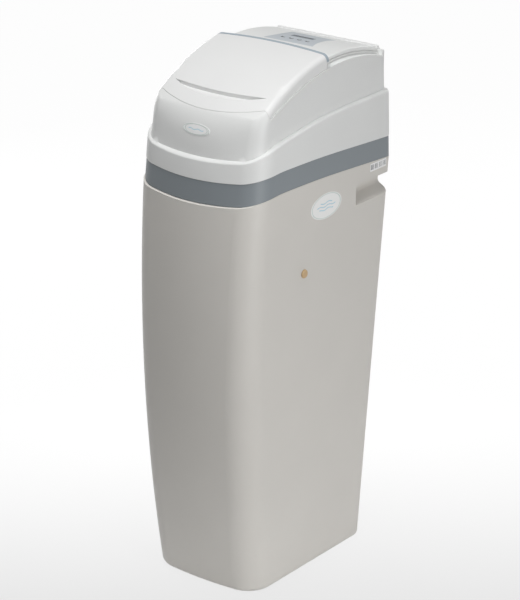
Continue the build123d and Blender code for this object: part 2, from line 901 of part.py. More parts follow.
# Lid, its edge strip and the runners that hold it in the rails
with BuildPart() as lid_space:
    add(arc_solid(lid_radius - lid_wall, lid_half_width - lid_wall, lid_edge_radius - lid_wall,
                  lid_rear_angle - 1, 76, lid_crown))
    add(loft_form(bonnet_levels, lid_inset + lid_wall), mode=Mode.INTERSECT)

with BuildPart() as lid_shell:
    add(arc_solid(lid_radius, lid_half_width, lid_edge_radius, lid_rear_angle, 75, lid_crown))
    add(loft_form(bonnet_levels, lid_inset), mode=Mode.INTERSECT)
    add(lid_space.part, mode=Mode.SUBTRACT)
    add(behind_seam(seam_gap), mode=Mode.INTERSECT)
    add(under_shoulder(lid_seat_gap), mode=Mode.SUBTRACT)

with BuildPart() as lid_front:
    add(arc_ring(deck_radius + lid_seat_gap, lid_radius - lid_wall / 2, lid_half_width - lid_wall / 2, 20, 75,
                 lid_crown))
    add(loft_form(bonnet_levels, lid_inset + lid_wall / 2), mode=Mode.INTERSECT)
    add(behind_seam(seam_gap), mode=Mode.INTERSECT)
    add(behind_seam(seam_gap + lid_flange), mode=Mode.SUBTRACT)

with BuildPart() as lid_cup:
    add(recess_block(recess_wall))
    add(arc_solid(lid_radius - lid_wall / 2, lid_half_width, 0, 20, 60, lid_crown), mode=Mode.INTERSECT)
    add(over_recess(-recess_wall), mode=Mode.INTERSECT)

with BuildPart() as lid_hollow:
    add(recess_block(0))
    add(over_recess(0), mode=Mode.INTERSECT)

with BuildPart() as lid_runners:
    for start, end in runner_angles:
        add(arc_ring(groove_low_radius + runner_play, groove_high_radius - runner_play,
                     lid_half_width - lid_wall / 2, start, end))
    with Locations((0, arc_y, arc_z + deck_radius)):
        Box(2 * (deck_half_width - groove_depth + runner_reach), 2 * reach, 2 * reach, mode=Mode.SUBTRACT)

with BuildPart() as salt_lid:
    add(lid_shell.part)
    add(lid_front.part)
    add(lid_cup.part)
    add(lid_hollow.part, mode=Mode.SUBTRACT)
    add(tip_fill(0), mode=Mode.SUBTRACT)
    add(lid_runners.part)
salt_lid.part.label = "salt_lid"

with BuildPart() as lid_edge_strip:
    add(arc_solid(lid_radius + strip_gap, lid_half_width + strip_gap, lid_edge_radius, strip_rear_angle,
                  lid_rear_angle - degrees(strip_gap / 2 / lid_radius), lid_crown))
    add(arc_solid(deck_radius + fit_gap, deck_half_width + fit_gap, 0, strip_rear_angle - 1, lid_rear_angle + 1),
        mode=Mode.SUBTRACT)
    add(arc_solid(strip_low_radius, reach, 0, strip_rear_angle - 1, lid_rear_angle + 1), mode=Mode.SUBTRACT)
lid_edge_strip.part.label = "lid_edge_strip"

# Panel pieces: overlay, window, keys, display, board
with BuildPart() as panel_overlay:
    add(deck_plate(panel_block(-panel_gap), panel_sink + panel_thickness - panel_gap / 2, panel_sink))
    add(upright_slot(0, window_y, window_size, window_corner, panel_gap), mode=Mode.SUBTRACT)
    for x in key_x:
        add(upright_slot(x, key_y, key_size, key_corner, key_play), mode=Mode.SUBTRACT)
panel_overlay.part.label = "panel_overlay"

with BuildPart() as display_window:
    add(deck_plate(upright_slot(0, window_y, window_size, window_corner),
                   panel_sink + panel_thickness - panel_gap / 2, panel_sink))
display_window.part.label = "display_window"


def key_form(x):
    """One key: cap through the panel, flange under the deck and stem down to its switch."""
    foot = board_top + switch_height + key_travel + key_play / 2
    with BuildPart() as key:
        add(deck_plate(upright_slot(x, key_y, key_size, key_corner), key_flange_drop, panel_sink))
        add(deck_plate(upright_slot(x, key_y, key_size, key_corner, key_flange), key_flange_drop,
                       key_flange_drop - key_flange_thickness))
        add(post(x, key_y, foot, key_stem_radius, deck_radius + arc_z - key_flange_drop - foot))
    return key.part


with BuildPart() as key_1:
    add(key_form(key_x[0]))
key_1.part.label = "key_1"

with BuildPart() as key_2:
    add(key_form(key_x[1]))
key_2.part.label = "key_2"

with BuildPart() as key_3:
    add(key_form(key_x[2]))
key_3.part.label = "key_3"

with BuildPart() as key_4:
    add(key_form(key_x[3]))
key_4.part.label = "key_4"

with BuildPart() as key_switches:
    for x in key_x:
        with Locations((x, key_y, board_top)):
            Box(switch_size, switch_size, switch_height, align=(Align.CENTER, Align.CENTER, Align.MIN))
key_switches.part.label = "key_switches"

with BuildPart() as display_module:
    with Locations((0, window_y, board_top)):
        Box(*display_size, display_height, align=(Align.CENTER, Align.CENTER, Align.MIN))
    fillet(display_module.edges().filter_by(Axis.Z), window_corner)
display_module.part.label = "display_module"

board_holes = (board_size[0] - 2 * board_hole_inset, board_size[1] - 2 * board_hole_inset)
with BuildPart() as control_board:
    with Locations((0, board_y, board_top - board_thickness)):
        Box(*board_size, board_thickness, align=(Align.CENTER, Align.CENTER, Align.MIN))
    fillet(control_board.edges().filter_by(Axis.Z), window_corner)
    with Locations((0, board_y, board_top)):
        with GridLocations(*board_holes, 2, 2):
            Hole(board_screw_radius + fit_gap)
control_board.part.label = "control_board"

with BuildPart() as board_screws:
    with Locations((0, board_y, board_top - board_thickness)):
        with GridLocations(*board_holes, 2, 2):
            Cylinder(board_screw_radius, board_screw_length, align=(Align.CENTER, Align.CENTER, Align.MIN))
            Cylinder(board_screw_head, board_screw_radius, align=(Align.CENTER, Align.CENTER, Align.MAX))
board_screws.part.label = "board_screws"

# Badge, labels, plug and gland
with BuildPart() as front_badge:
    add(skin_plate(bonnet_levels, badge_block(0), badge_sink - badge_gap, -badge_proud))
front_badge.part.label = "front_badge"

with BuildPart() as side_label_block:
    with BuildSketch(Plane.YZ.offset(floor_half_width)):
        with Locations((label_y, label_z)):
            Ellipse(label_size[0] / 2, label_size[1] / 2)
    extrude(amount=reach - floor_half_width)

with BuildPart() as side_label:
    add(skin_plate(cabinet_levels, side_label_block.part, -label_skin[0], -label_skin[1]))
side_label.part.label = "side_label"

with BuildPart() as mark_block:
    with BuildSketch(Plane.YZ.offset(floor_half_width)):
        with Locations((mark_y, mark_z)):
            Rectangle(*mark_size)
    extrude(amount=reach - floor_half_width)

with BuildPart() as rear_label:
    add(skin_plate(cabinet_levels, mark_block.part, -label_skin[0], -label_skin[1]))
rear_label.part.label = "rear_label"

plug_x = wall_x(plug_y, plug_z)
with BuildPart() as overflow_plug:
    add(post(plug_x + plug_gap, plug_y, plug_z, plug_radius, plug_head, Axis.X))
    fillet(overflow_plug.faces().sort_by(Axis.X)[-1].edges(), 0.8 * plug_head)
    add(sleeve(plug_x - cabinet_wall - plug_nut_height - 2, plug_y, plug_z, plug_stem, plug_stem - 2,
               cabinet_wall + plug_nut_height + 3, Axis.X))
overflow_plug.part.label = "overflow_plug"

with BuildPart() as plug_nut:
    with BuildSketch(Plane.YZ.offset(plug_x - cabinet_wall - 2 * fit_gap - plug_nut_height)):
        with Locations((plug_y, plug_z)):
            RegularPolygon(plug_nut_radius, 6)
            Circle(plug_stem + running_gap, mode=Mode.SUBTRACT)
    extrude(amount=plug_nut_height)
plug_nut.part.label = "plug_nut"

gland_seat = gland_tilt * gland_nut[0]
gland_share = (gland_z - skirt_bottom) / (skirt_high_height - skirt_bottom)
gland_wall = skirt_low_rear + gland_share * (skirt_high_rear - skirt_low_rear)
with BuildPart() as cord_gland:
    add(post(gland_x, gland_wall + gland_seat, gland_z, gland_flange[0], gland_flange[1], Axis.Y))
    add(post(gland_x, gland_wall - gland_barrel[1] + gland_seat, gland_z, gland_barrel[0], gland_barrel[1], Axis.Y))
    add(post(gland_x, gland_wall - cover_wall - gland_seat - gland_nut[1], gland_z, gland_nut[0], gland_nut[1],
             Axis.Y))
    add(post(gland_x, gland_wall - gland_barrel[1] - fit_gap, gland_z, cord_bore, 2 * gland_barrel[1], Axis.Y),
        mode=Mode.SUBTRACT)
cord_gland.part.label = "cord_gland"

# Pressure vessel
with BuildPart() as resin_tank:
    add(tank_form(0))
    add(post(0, tank_y, tank_shoulder, neck_radius, tank_top - tank_shoulder))
    add(tank_form(tank_wall), mode=Mode.SUBTRACT)
    add(post(0, tank_y, tank_shoulder, neck_bore, tank_top - tank_shoulder), mode=Mode.SUBTRACT)
resin_tank.part.label = "resin_tank"

with BuildPart() as tank_base:
    add(post(0, tank_y, cabinet_floor + seat_gap, tank_radius + seat_gap + foot_wall, foot_top - cabinet_floor))
    add(tank_form(-seat_gap), mode=Mode.SUBTRACT)
    add(post(0, tank_y, 0, foot_bore, tank_top), mode=Mode.SUBTRACT)
tank_base.part.label = "tank_base"

with BuildPart() as resin_bed:
    add(tank_form(tank_wall + seat_gap))
    with Locations((0, tank_y, resin_top)):
        Box(2 * reach, 2 * reach, tank_top, align=(Align.CENTER, Align.CENTER, Align.MIN), mode=Mode.SUBTRACT)
    add(post(0, tank_y, 0, riser_radius + seat_gap, tank_top), mode=Mode.SUBTRACT)
    add(post(0, tank_y, 0, basket_radius + seat_gap, basket_bottom + basket_height + seat_gap), mode=Mode.SUBTRACT)
resin_bed.part.label = "resin_bed"

with BuildPart() as riser_tube:
    add(sleeve(0, tank_y, riser_bottom, riser_radius, riser_radius - riser_wall, riser_top - riser_bottom))
riser_tube.part.label = "riser_tube"

with BuildPart() as bottom_distributor:
    add(basket(basket_bottom, basket_bottom + basket_height, True))
bottom_distributor.part.label = "bottom_distributor"

with BuildPart() as top_distributor:
    add(basket(high_basket_bottom, high_basket_top, False))
top_distributor.part.label = "top_distributor"

with BuildPart() as neck_seal:
    add(ring_seal(0, tank_y, (tank_top + flange_bottom) / 2, *neck_seal_ring))
neck_seal.part.label = "neck_seal"

# Control valve
post_places = []
for post_rise in (-bracket_post_rise, bracket_post_rise):
    for post_y in bracket_post_y:
        post_places.append((post_y, valve_z + post_rise))
valve_face = -valve_half_length
bore_start = valve_face + valve_end_wall
bore_length = valve_half_length - bore_start - cap_plug
stub_x = bore_start / 2
post_start = bracket_x + bracket_thickness / 2 + running_gap
spider_y = turbine_y + turbine_length + 2 * turbine_pin

with BuildPart() as valve_body:
    add(post(0, tank_y, spigot_bottom, spigot_radius, flange_bottom - spigot_bottom))
    add(post(0, tank_y, flange_bottom, flange_radius, flange_top - flange_bottom))
    add(post(0, tank_y, flange_bottom, column_radius, valve_z - flange_bottom))
    add(post(valve_face, tank_y, valve_z, valve_radius, 2 * valve_half_length, Axis.X))
    add(post(0, tank_y - injector_reach, injector_z, injector_radius, injector_reach, Axis.Y))
    add(post(0, tank_y - elbow_drop, valve_z, elbow_radius, elbow_drop, Axis.Y))
    add(post(stub_x, tank_y, valve_z, drain_radius, drain_rise - drain_radius))
    for x in (-port_x, port_x):
        add(post(x, tank_y, port_z, port_radius, port_end_y - tank_y, Axis.Y))
        add(post(x, tank_y, port_z, port_bore, port_end_y - tank_y, Axis.Y), mode=Mode.SUBTRACT)
    add(post(bore_start, tank_y, valve_z, valve_bore, valve_half_length - bore_start, Axis.X), mode=Mode.SUBTRACT)
    add(post(valve_face, tank_y, valve_z, rod_radius + running_gap, valve_end_wall, Axis.X), mode=Mode.SUBTRACT)
    add(post(0, tank_y, spigot_bottom, riser_radius + seat_gap, riser_top + seat_gap - spigot_bottom),
        mode=Mode.SUBTRACT)
    add(post(0, tank_y, spigot_bottom, throat_radius, valve_z - spigot_bottom), mode=Mode.SUBTRACT)
    for x in (-bed_port_x, bed_port_x):
        add(post(x, tank_y, spigot_bottom, bed_port_radius, valve_z - spigot_bottom), mode=Mode.SUBTRACT)
    add(post(0, tank_y - injector_reach, injector_z, elbow_bore, injector_reach, Axis.Y), mode=Mode.SUBTRACT)
    for x in (-injector_screw_spread, injector_screw_spread):
        add(post(x, tank_y - injector_reach, injector_z, small_screw[0] + running_gap, injector_cap, Axis.Y),
            mode=Mode.SUBTRACT)
    add(post(0, tank_y - elbow_drop, valve_z, elbow_bore, elbow_drop, Axis.Y), mode=Mode.SUBTRACT)
    add(post(stub_x, tank_y, valve_z, elbow_bore, drain_rise, Axis.Z), mode=Mode.SUBTRACT)
    for y, z in post_places:
        add(sleeve(post_start, y, z, bracket_post, small_screw[0] + running_gap, valve_face - post_start, Axis.X))
    with Locations((port_x, spider_y, port_z)):
        Box(2 * port_bore + turbine_pin, 2 * turbine_pin, 2 * turbine_pin)
        Box(2 * turbine_pin, 2 * turbine_pin, 2 * port_bore + turbine_pin)
    add(post(port_x, turbine_y - turbine_pin, port_z, turbine_pin, spider_y - turbine_y + turbine_pin, Axis.Y))
valve_body.part.label = "valve_body"

seal_pitch = (bore_length - 2 * seat_gap - seal_thickness) / (seal_count - 1)
window_length = seal_pitch - seal_thickness
window_width = 2 * valve_bore - 4 * seal_bar
with BuildPart() as seal_stack:
    add(sleeve(bore_start + seat_gap, tank_y, valve_z, valve_bore - running_gap, piston_radius + running_gap,
               bore_length - 2 * seat_gap, Axis.X))
    with Locations((bore_start + bore_length / 2, tank_y, valve_z)):
        with GridLocations(seal_pitch, 0, seal_count - 1, 1):
            Box(window_length, window_width, 3 * valve_bore, mode=Mode.SUBTRACT)
            Box(window_length, 3 * valve_bore, window_width, mode=Mode.SUBTRACT)
seal_stack.part.label = "seal_stack"

with BuildPart() as piston:
    add(post(piston_start_x, tank_y, valve_z, piston_radius, piston_length, Axis.X))
    add(sleeve(piston_start_x + piston_land, tank_y, valve_z, 2 * piston_radius, piston_waist,
               piston_length / 2 - 1.5 * piston_land, Axis.X), mode=Mode.SUBTRACT)
    add(sleeve(piston_start_x + piston_length / 2 + piston_land / 2, tank_y, valve_z, 2 * piston_radius, piston_waist,
               piston_length / 2 - 1.5 * piston_land, Axis.X), mode=Mode.SUBTRACT)
    add(post(piston_start_x, tank_y, valve_z, rod_radius + running_gap, piston_length / 2, Axis.X),
        mode=Mode.SUBTRACT)
piston.part.label = "piston"

with BuildPart() as piston_rod:
    add(post(rod_tip_x, tank_y, valve_z, rod_radius, piston_start_x + piston_length / 2 - rod_tip_x, Axis.X))
    chamfer(piston_rod.edges().sort_by(Axis.X)[0], rod_radius / 4)
piston_rod.part.label = "piston_rod"

with BuildPart() as bore_cap:
    add(post(valve_half_length + seat_gap, tank_y, valve_z, cap_radius, cap_thickness, Axis.X))
    add(post(valve_half_length - cap_plug, tank_y, valve_z, valve_bore - running_gap, cap_plug + cap_thickness,
             Axis.X))
    fillet(bore_cap.edges().sort_by(Axis.X)[-1], cap_thickness / 3)
bore_cap.part.label = "bore_cap"

# Drive
ear_places = [(0, valve_z - motor_ear_spread), (0, valve_z + motor_ear_spread)]
bracket_face = bracket_x - bracket_thickness / 2
with BuildPart() as drive_bracket:
    with BuildSketch(Plane.YZ.offset(bracket_face)):
        with Locations((bracket_y, valve_z)):
            RectangleRounded(*bracket_size, bracket_corner)
    extrude(amount=bracket_thickness)
    add(post(bracket_face, tank_y, valve_z, hub_radius + running_gap, bracket_thickness, Axis.X), mode=Mode.SUBTRACT)
    add(post(bracket_face, 0, valve_z, 2 * motor_shaft, bracket_thickness, Axis.X), mode=Mode.SUBTRACT)
    for y, z in post_places + ear_places:
        add(post(bracket_face, y, z, small_screw[0] + running_gap, bracket_thickness, Axis.X), mode=Mode.SUBTRACT)
drive_bracket.part.label = "drive_bracket"

with BuildPart() as bracket_screws:
    add(small_screws([(bracket_face - running_gap, y, z) for y, z in post_places], Axis.X))
bracket_screws.part.label = "bracket_screws"

with BuildPart() as drive_gear:
    with BuildSketch(gear_plane(gear_x - gear_face / 2, tank_y)):
        add(gear_outline(gear_teeth, 180 / gear_teeth))
        with PolarLocations(gear_window_circle, 6):
            Circle(gear_window_radius, mode=Mode.SUBTRACT)
    extrude(amount=gear_face)
    add(post(gear_x - gear_face, tank_y, valve_z, hub_radius, bracket_x + bracket_thickness / 2 - gear_x + gear_face,
             Axis.X))
    add(post(gear_x - gear_face, tank_y, valve_z, rod_radius + running_gap, -valve_half_length - gear_x + gear_face,
             Axis.X), mode=Mode.SUBTRACT)
drive_gear.part.label = "drive_gear"

motor_front = bracket_x + bracket_thickness / 2 + seat_gap
with BuildPart() as motor_pinion:
    with BuildSketch(gear_plane(gear_x - gear_face / 2, 0)):
        add(gear_outline(pinion_teeth, 0))
    extrude(amount=gear_face)
    add(post(gear_x - gear_face / 2, 0, valve_z, motor_shaft, motor_front + motor_length / 2 - gear_x, Axis.X))
motor_pinion.part.label = "motor_pinion"

with BuildPart() as drive_motor:
    add(post(motor_front, 0, valve_z, motor_radius, motor_length, Axis.X))
    fillet(drive_motor.edges().sort_by(Axis.X)[-1], motor_radius / 8)
    with BuildSketch(Plane.YZ.offset(motor_front)):
        with Locations((0, valve_z)):
            Rectangle(2 * motor_ear_radius, 2 * motor_ear_spread)
        with Locations(*ear_places):
            Circle(motor_ear_radius)
    extrude(amount=motor_ear_thickness)
    for y, z in ear_places:
        add(post(motor_front, y, z, small_screw[0] + running_gap, motor_ear_thickness, Axis.X), mode=Mode.SUBTRACT)
    add(post(motor_front, 0, valve_z, motor_shaft + running_gap, motor_length / 2 + gear_face, Axis.X),
        mode=Mode.SUBTRACT)
drive_motor.part.label = "drive_motor"

with BuildPart() as motor_screws:
    add(small_screws([(bracket_face - running_gap, y, z) for y, z in ear_places], Axis.X))
motor_screws.part.label = "motor_screws"

# Injector, brine and drain fittings
injector_face = tank_y - injector_reach - seat_gap - injector_cap
injector_places = [(-injector_screw_spread, injector_z), (injector_screw_spread, injector_z)]
with BuildPart() as injector_cover:
    add(post(0, injector_face, injector_z, injector_radius, injector_cap, Axis.Y))
    fillet(injector_cover.edges().sort_by(Axis.Y)[0], injector_cap / 4)
    for x, z in injector_places:
        add(post(x, injector_face, z, small_screw[0] + running_gap, injector_cap, Axis.Y), mode=Mode.SUBTRACT)
injector_cover.part.label = "injector_cover"

with BuildPart() as injector_screws:
    add(small_screws([(x, injector_face - running_gap, z) for x, z in injector_places], Axis.Y))
injector_screws.part.label = "injector_screws"

elbow_y = tank_y - elbow_drop - seat_gap - elbow_radius
tube_bore = tube_radius - tube_wall
with BuildPart() as brine_elbow:
    add(post(0, elbow_y - elbow_radius, valve_z, elbow_radius, 2 * elbow_radius, Axis.Y))
    fillet(brine_elbow.edges().sort_by(Axis.Y)[0], elbow_radius / 2)
    add(post(0, elbow_y, valve_z, 0.9 * elbow_radius, elbow_start_x - seat_gap, Axis.X))
    add(post(0, elbow_y, valve_z, tube_bore - running_gap, 2 * elbow_start_x, Axis.X))
    add(post(0, elbow_y, valve_z, tube_bore / 2, 2 * elbow_start_x, Axis.X), mode=Mode.SUBTRACT)
    add(post(0, elbow_y, valve_z, tube_bore / 2, elbow_radius, Axis.Y), mode=Mode.SUBTRACT)
brine_elbow.part.label = "brine_elbow"

drain_z = valve_z + drain_rise
with BuildPart() as drain_elbow:
    add(post(stub_x, tank_y, drain_z - drain_radius + seat_gap, drain_radius, 2 * drain_radius))
    fillet(drain_elbow.edges().sort_by(Axis.Z)[-1], drain_radius / 3)
    add(post(stub_x, tank_y, drain_z, barb_root, drain_reach, Axis.Y))
    for number in range(barb_count):
        barb_end = tank_y + drain_reach - number * barb_pitch
        with Locations(Location((stub_x, barb_end, drain_z), (-90, 0, 0))):
            Cone(barb_radius, barb_root + barb_tip, 0.6 * barb_pitch,
                 align=(Align.CENTER, Align.CENTER, Align.MAX))
    add(post(stub_x, tank_y - barb_root, drain_z, barb_bore, drain_reach + drain_radius, Axis.Y), mode=Mode.SUBTRACT)
    add(post(stub_x, tank_y, drain_z - drain_radius, barb_bore, drain_radius + seat_gap), mode=Mode.SUBTRACT)
drain_elbow.part.label = "drain_elbow"

with BuildPart() as meter_turbine:
    add(post(port_x, turbine_y, port_z, turbine_hub, turbine_length, Axis.Y))
    with Locations(Location((port_x, turbine_y, port_z), (-90, 0, 0))):
        with PolarLocations((turbine_radius + turbine_pin) / 2, turbine_blades):
            Box(turbine_radius - turbine_pin - turbine_blade, turbine_blade, turbine_length,
                align=(Align.CENTER, Align.CENTER, Align.MIN))
    add(post(port_x, turbine_y, port_z, turbine_pin + running_gap, turbine_length, Axis.Y), mode=Mode.SUBTRACT)
meter_turbine.part.label = "meter_turbine"

# Bypass
with BuildPart() as bypass_body:
    for x in (-port_x, port_x):
        add(post(x, bypass_start_y, port_z, port_radius, collar_length, Axis.Y))
        add(post(x, bypass_start_y, port_z, bypass_tube_radius, bypass_end_y - thread_length - bypass_start_y, Axis.Y))
        add(post(x, rotor_y, port_z, thread_radius, bypass_end_y - rotor_y, Axis.Y))
        add(post(x, rotor_y, rotor_floor - cover_wall, rotor_housing, rotor_roof - rotor_floor + cover_wall))
    add(post(-port_x, rotor_y, port_z, bridge_radius, 2 * port_x, Axis.X))
    add(post(-port_x, rotor_y, port_z, bridge_radius - cover_wall, 2 * port_x, Axis.X), mode=Mode.SUBTRACT)
    for x in (-port_x, port_x):
        add(post(x, bypass_start_y, port_z, bypass_bore, bypass_end_y - bypass_start_y, Axis.Y), mode=Mode.SUBTRACT)
        add(post(x, rotor_y, rotor_floor, rotor_radius + running_gap, rotor_roof), mode=Mode.SUBTRACT)
bypass_body.part.label = "bypass_body"


def bypass_handle(x):
    """Bypass handle: ported rotor in its housing, with a cap and a lever on top."""
    with BuildPart() as rotor:
        add(post(x, rotor_y, rotor_floor + seat_gap, rotor_radius, rotor_roof - rotor_floor))
        add(post(x, rotor_y, rotor_roof + seat_gap, rotor_housing - 1, (lever_top - rotor_roof) / 3))
        add(post(x, rotor_y - rotor_radius, port_z, bypass_bore, 2 * rotor_radius, Axis.Y), mode=Mode.SUBTRACT)
    with BuildPart() as lever:
        with BuildSketch(Plane.XY.offset(rotor_roof + seat_gap)):
            with Locations((x, rotor_y)):
                SlotOverall(lever_length, lever_width, rotation=90)
        extrude(amount=lever_top - rotor_roof - seat_gap)
        fillet(lever.faces().sort_by(Axis.Z)[-1].edges(), lever_width / 6)
    with BuildPart() as handle:
        add(rotor.part)
        add(lever.part)
    return handle.part


with BuildPart() as inlet_handle:
    add(bypass_handle(-port_x))
inlet_handle.part.label = "inlet_handle"

with BuildPart() as outlet_handle:
    add(bypass_handle(port_x))
outlet_handle.part.label = "outlet_handle"

collar_end = bypass_start_y + collar_length + seat_gap
with BuildPart() as bypass_nuts:
    with BuildSketch(Plane.XZ.offset(-nut_start_y)):
        with Locations((-port_x, port_z), (port_x, port_z)):
            RegularPolygon(nut_radius, 6)
    extrude(amount=-(collar_end + nut_lip - nut_start_y))
    for x in (-port_x, port_x):
        add(post(x, nut_start_y, port_z, port_radius + running_gap, collar_end - nut_start_y, Axis.Y),
            mode=Mode.SUBTRACT)
        add(post(x, nut_start_y, port_z, bypass_tube_radius + running_gap, reach, Axis.Y), mode=Mode.SUBTRACT)
bypass_nuts.part.label = "bypass_nuts"

with BuildPart() as port_seals:
    for x in (-port_x, port_x):
        add(ring_seal(x, (port_end_y + bypass_start_y) / 2, port_z, *port_seal_ring, Axis.Y))
port_seals.part.label = "port_seals"

# Brine well and what hangs in it
pickup_x = well_x + pickup_offset
float_x = well_x + float_offset
collar_base = float_base - float_rod_radius - seat_gap
with BuildPart() as brine_well:
    add(sleeve(well_x, well_y, cabinet_floor + seat_gap, well_radius, well_radius - well_wall,
               well_top - cabinet_floor - seat_gap))
    with Locations((well_x, well_y, cabinet_floor + 0.7 * well_slot_height)):
        with PolarLocations(well_radius, well_slots):
            Box(4 * well_wall, 2 * slot_width, well_slot_height, align=(Align.CENTER, Align.CENTER, Align.MIN),
                mode=Mode.SUBTRACT)
brine_well.part.label = "brine_well"

with BuildPart() as well_cap:
    add(post(well_x, well_y, well_top + seat_gap, well_radius + cap_lip, cap_lip))
    fillet(well_cap.edges().sort_by(Axis.Z)[-1], cap_lip / 3)
    add(sleeve(well_x, well_y, well_top - 2 * cap_lip, well_radius - well_wall - fit_gap,
               well_radius - 2 * well_wall - fit_gap, 2 * cap_lip + seat_gap))
    add(post(pickup_x, well_y, well_top, tube_radius + float_play, 2 * cap_lip), mode=Mode.SUBTRACT)
well_cap.part.label = "well_cap"

with BuildPart() as safety_valve:
    add(post(pickup_x, well_y, safety_base, safety_radius, safety_height))
    fillet(safety_valve.edges().filter_by(GeomType.CIRCLE), safety_radius / 6)
    add(post(pickup_x, well_y, safety_base - 3 * tube_radius, tube_bore - running_gap,
             safety_height + 6 * tube_radius))
    with Locations(((pickup_x + float_x) / 2, well_y, safety_base + tube_radius)):
        Box(pickup_x - float_x + 2 * tube_radius, 2 * tube_radius, tube_radius)
    add(post(float_x, well_y, safety_base + tube_radius / 2, float_rod_radius + running_gap, 2 * tube_radius),
        mode=Mode.SUBTRACT)
safety_valve.part.label = "safety_valve"

with BuildPart() as float_rod:
    add(post(float_x, well_y, collar_base, float_rod_radius, safety_base + 2 * tube_radius - collar_base))
    add(post(float_x, well_y, collar_base, 2 * float_rod_radius, float_rod_radius))
float_rod.part.label = "float_rod"

with BuildPart() as brine_float:
    add(post(float_x, well_y, float_base, float_radius, float_height))
    fillet(brine_float.edges().filter_by(GeomType.CIRCLE), float_radius / 5)
    add(post(float_x, well_y, float_base, float_rod_radius + float_play, float_height), mode=Mode.SUBTRACT)
brine_float.part.label = "brine_float"

with BuildPart() as pickup_tube:
    add(sleeve(pickup_x, well_y, air_check_top - 2 * tube_radius, tube_radius, tube_bore,
               safety_base - seat_gap - air_check_top + 2 * tube_radius))
pickup_tube.part.label = "pickup_tube"

with BuildPart() as air_check:
    add(post(pickup_x, well_y, air_check_bottom, air_check_radius, air_check_top - air_check_bottom))
    fillet(air_check.edges().filter_by(GeomType.CIRCLE), air_check_radius / 5)
    add(post(pickup_x, well_y, air_check_bottom, tube_bore, air_check_top - air_check_bottom), mode=Mode.SUBTRACT)
    add(post(pickup_x, well_y, air_check_top - 2 * tube_radius - seat_gap, tube_radius + running_gap,
             air_check_top), mode=Mode.SUBTRACT)
air_check.part.label = "air_check"

tube_points = [
    (elbow_start_x, elbow_y, valve_z),
    (pickup_x, elbow_y, valve_z),
    (pickup_x, well_y, valve_z),
    (pickup_x, well_y, safety_base + safety_height + seat_gap),
]
tube_runs = []
for first, second in zip(tube_points[:-1], tube_points[1:]):
    tube_runs.append(sqrt(sum((b - a) ** 2 for a, b in zip(first, second))))
tube_bends = [tube_share * min(pair) for pair in zip(tube_runs[:-1], tube_runs[1:])]
print("brine tube bend radii", tube_bends)
with BuildPart() as brine_tube:
    with BuildLine() as tube_line:
        FilletPolyline(*tube_points, radius=tube_bends)
    with BuildSketch(Plane(origin=tube_points[0], z_dir=(1, 0, 0))):
        Circle(tube_radius)
        Circle(tube_bore, mode=Mode.SUBTRACT)
    sweep(path=tube_line.wires()[0])
brine_tube.part.label = "brine_tube"

# Salt grid
with BuildPart() as grid_blank:
    add(loft_form(cabinet_levels, cabinet_wall + grid_clearance))
    with Locations((0, 0, grid_top)):
        Box(2 * reach, 2 * reach, reach * 3, align=(Align.CENTER, Align.CENTER, Align.MIN), mode=Mode.SUBTRACT)
    with Locations((0, 0, grid_top - grid_thickness)):
        Box(2 * reach, 2 * reach, reach * 3, align=(Align.CENTER, Align.CENTER, Align.MAX), mode=Mode.SUBTRACT)

with BuildPart() as salt_grid:
    add(grid_blank.part)
    with Locations((0, tank_y, grid_top)):
        Box(2 * reach, 2 * reach, reach, align=(Align.CENTER, Align.MIN, Align.CENTER), mode=Mode.SUBTRACT)
    add(post(0, tank_y, 0, tank_radius + grid_clearance, grid_top), mode=Mode.SUBTRACT)
    add(post(well_x, well_y, 0, well_radius + grid_clearance, grid_top), mode=Mode.SUBTRACT)
    with Locations((*grid_field, grid_top)):
        with GridLocations(*grid_pitch, *grid_counts):
            Box(*grid_slot, 4 * grid_thickness, mode=Mode.SUBTRACT)
    for x, y in grid_legs:
        add(post(x, y, cabinet_floor + seat_gap, grid_leg_radius, grid_top - cabinet_floor - seat_gap))
salt_grid.part.label = "salt_grid"

# Export
os.makedirs("parts", exist_ok=True)
export_step(cabinet.part, "parts/cabinet.step")
export_step(trim_band.part, "parts/trim_band.step")
export_step(top_cover.part, "parts/top_cover.step")
export_step(salt_lid.part, "parts/salt_lid.step")
export_step(lid_edge_strip.part, "parts/lid_edge_strip.step")
export_step(panel_overlay.part, "parts/panel_overlay.step")
export_step(display_window.part, "parts/display_window.step")
export_step(key_1.part, "parts/key_1.step")
export_step(key_2.part, "parts/key_2.step")
export_step(key_3.part, "parts/key_3.step")
export_step(key_4.part, "parts/key_4.step")
export_step(key_switches.part, "parts/key_switches.step")
export_step(display_module.part, "parts/display_module.step")
export_step(control_board.part, "parts/control_board.step")
export_step(board_screws.part, "parts/board_screws.step")
export_step(front_badge.part, "parts/front_badge.step")
export_step(side_label.part, "parts/side_label.step")
export_step(rear_label.part, "parts/rear_label.step")
export_step(overflow_plug.part, "parts/overflow_plug.step")
export_step(plug_nut.part, "parts/plug_nut.step")
export_step(cord_gland.part, "parts/cord_gland.step")
export_step(resin_tank.part, "parts/resin_tank.step")
export_step(tank_base.part, "parts/tank_base.step")
export_step(resin_bed.part, "parts/resin_bed.step")
export_step(riser_tube.part, "parts/riser_tube.step")
export_step(bottom_distributor.part, "parts/bottom_distributor.step")
export_step(top_distributor.part, "parts/top_distributor.step")
export_step(neck_seal.part, "parts/neck_seal.step")
export_step(valve_body.part, "parts/valve_body.step")
export_step(seal_stack.part, "parts/seal_stack.step")
export_step(piston.part, "parts/piston.step")
export_step(piston_rod.part, "parts/piston_rod.step")
export_step(bore_cap.part, "parts/bore_cap.step")
export_step(drive_bracket.part, "parts/drive_bracket.step")
export_step(bracket_screws.part, "parts/bracket_screws.step")
export_step(drive_gear.part, "parts/drive_gear.step")
export_step(motor_pinion.part, "parts/motor_pinion.step")
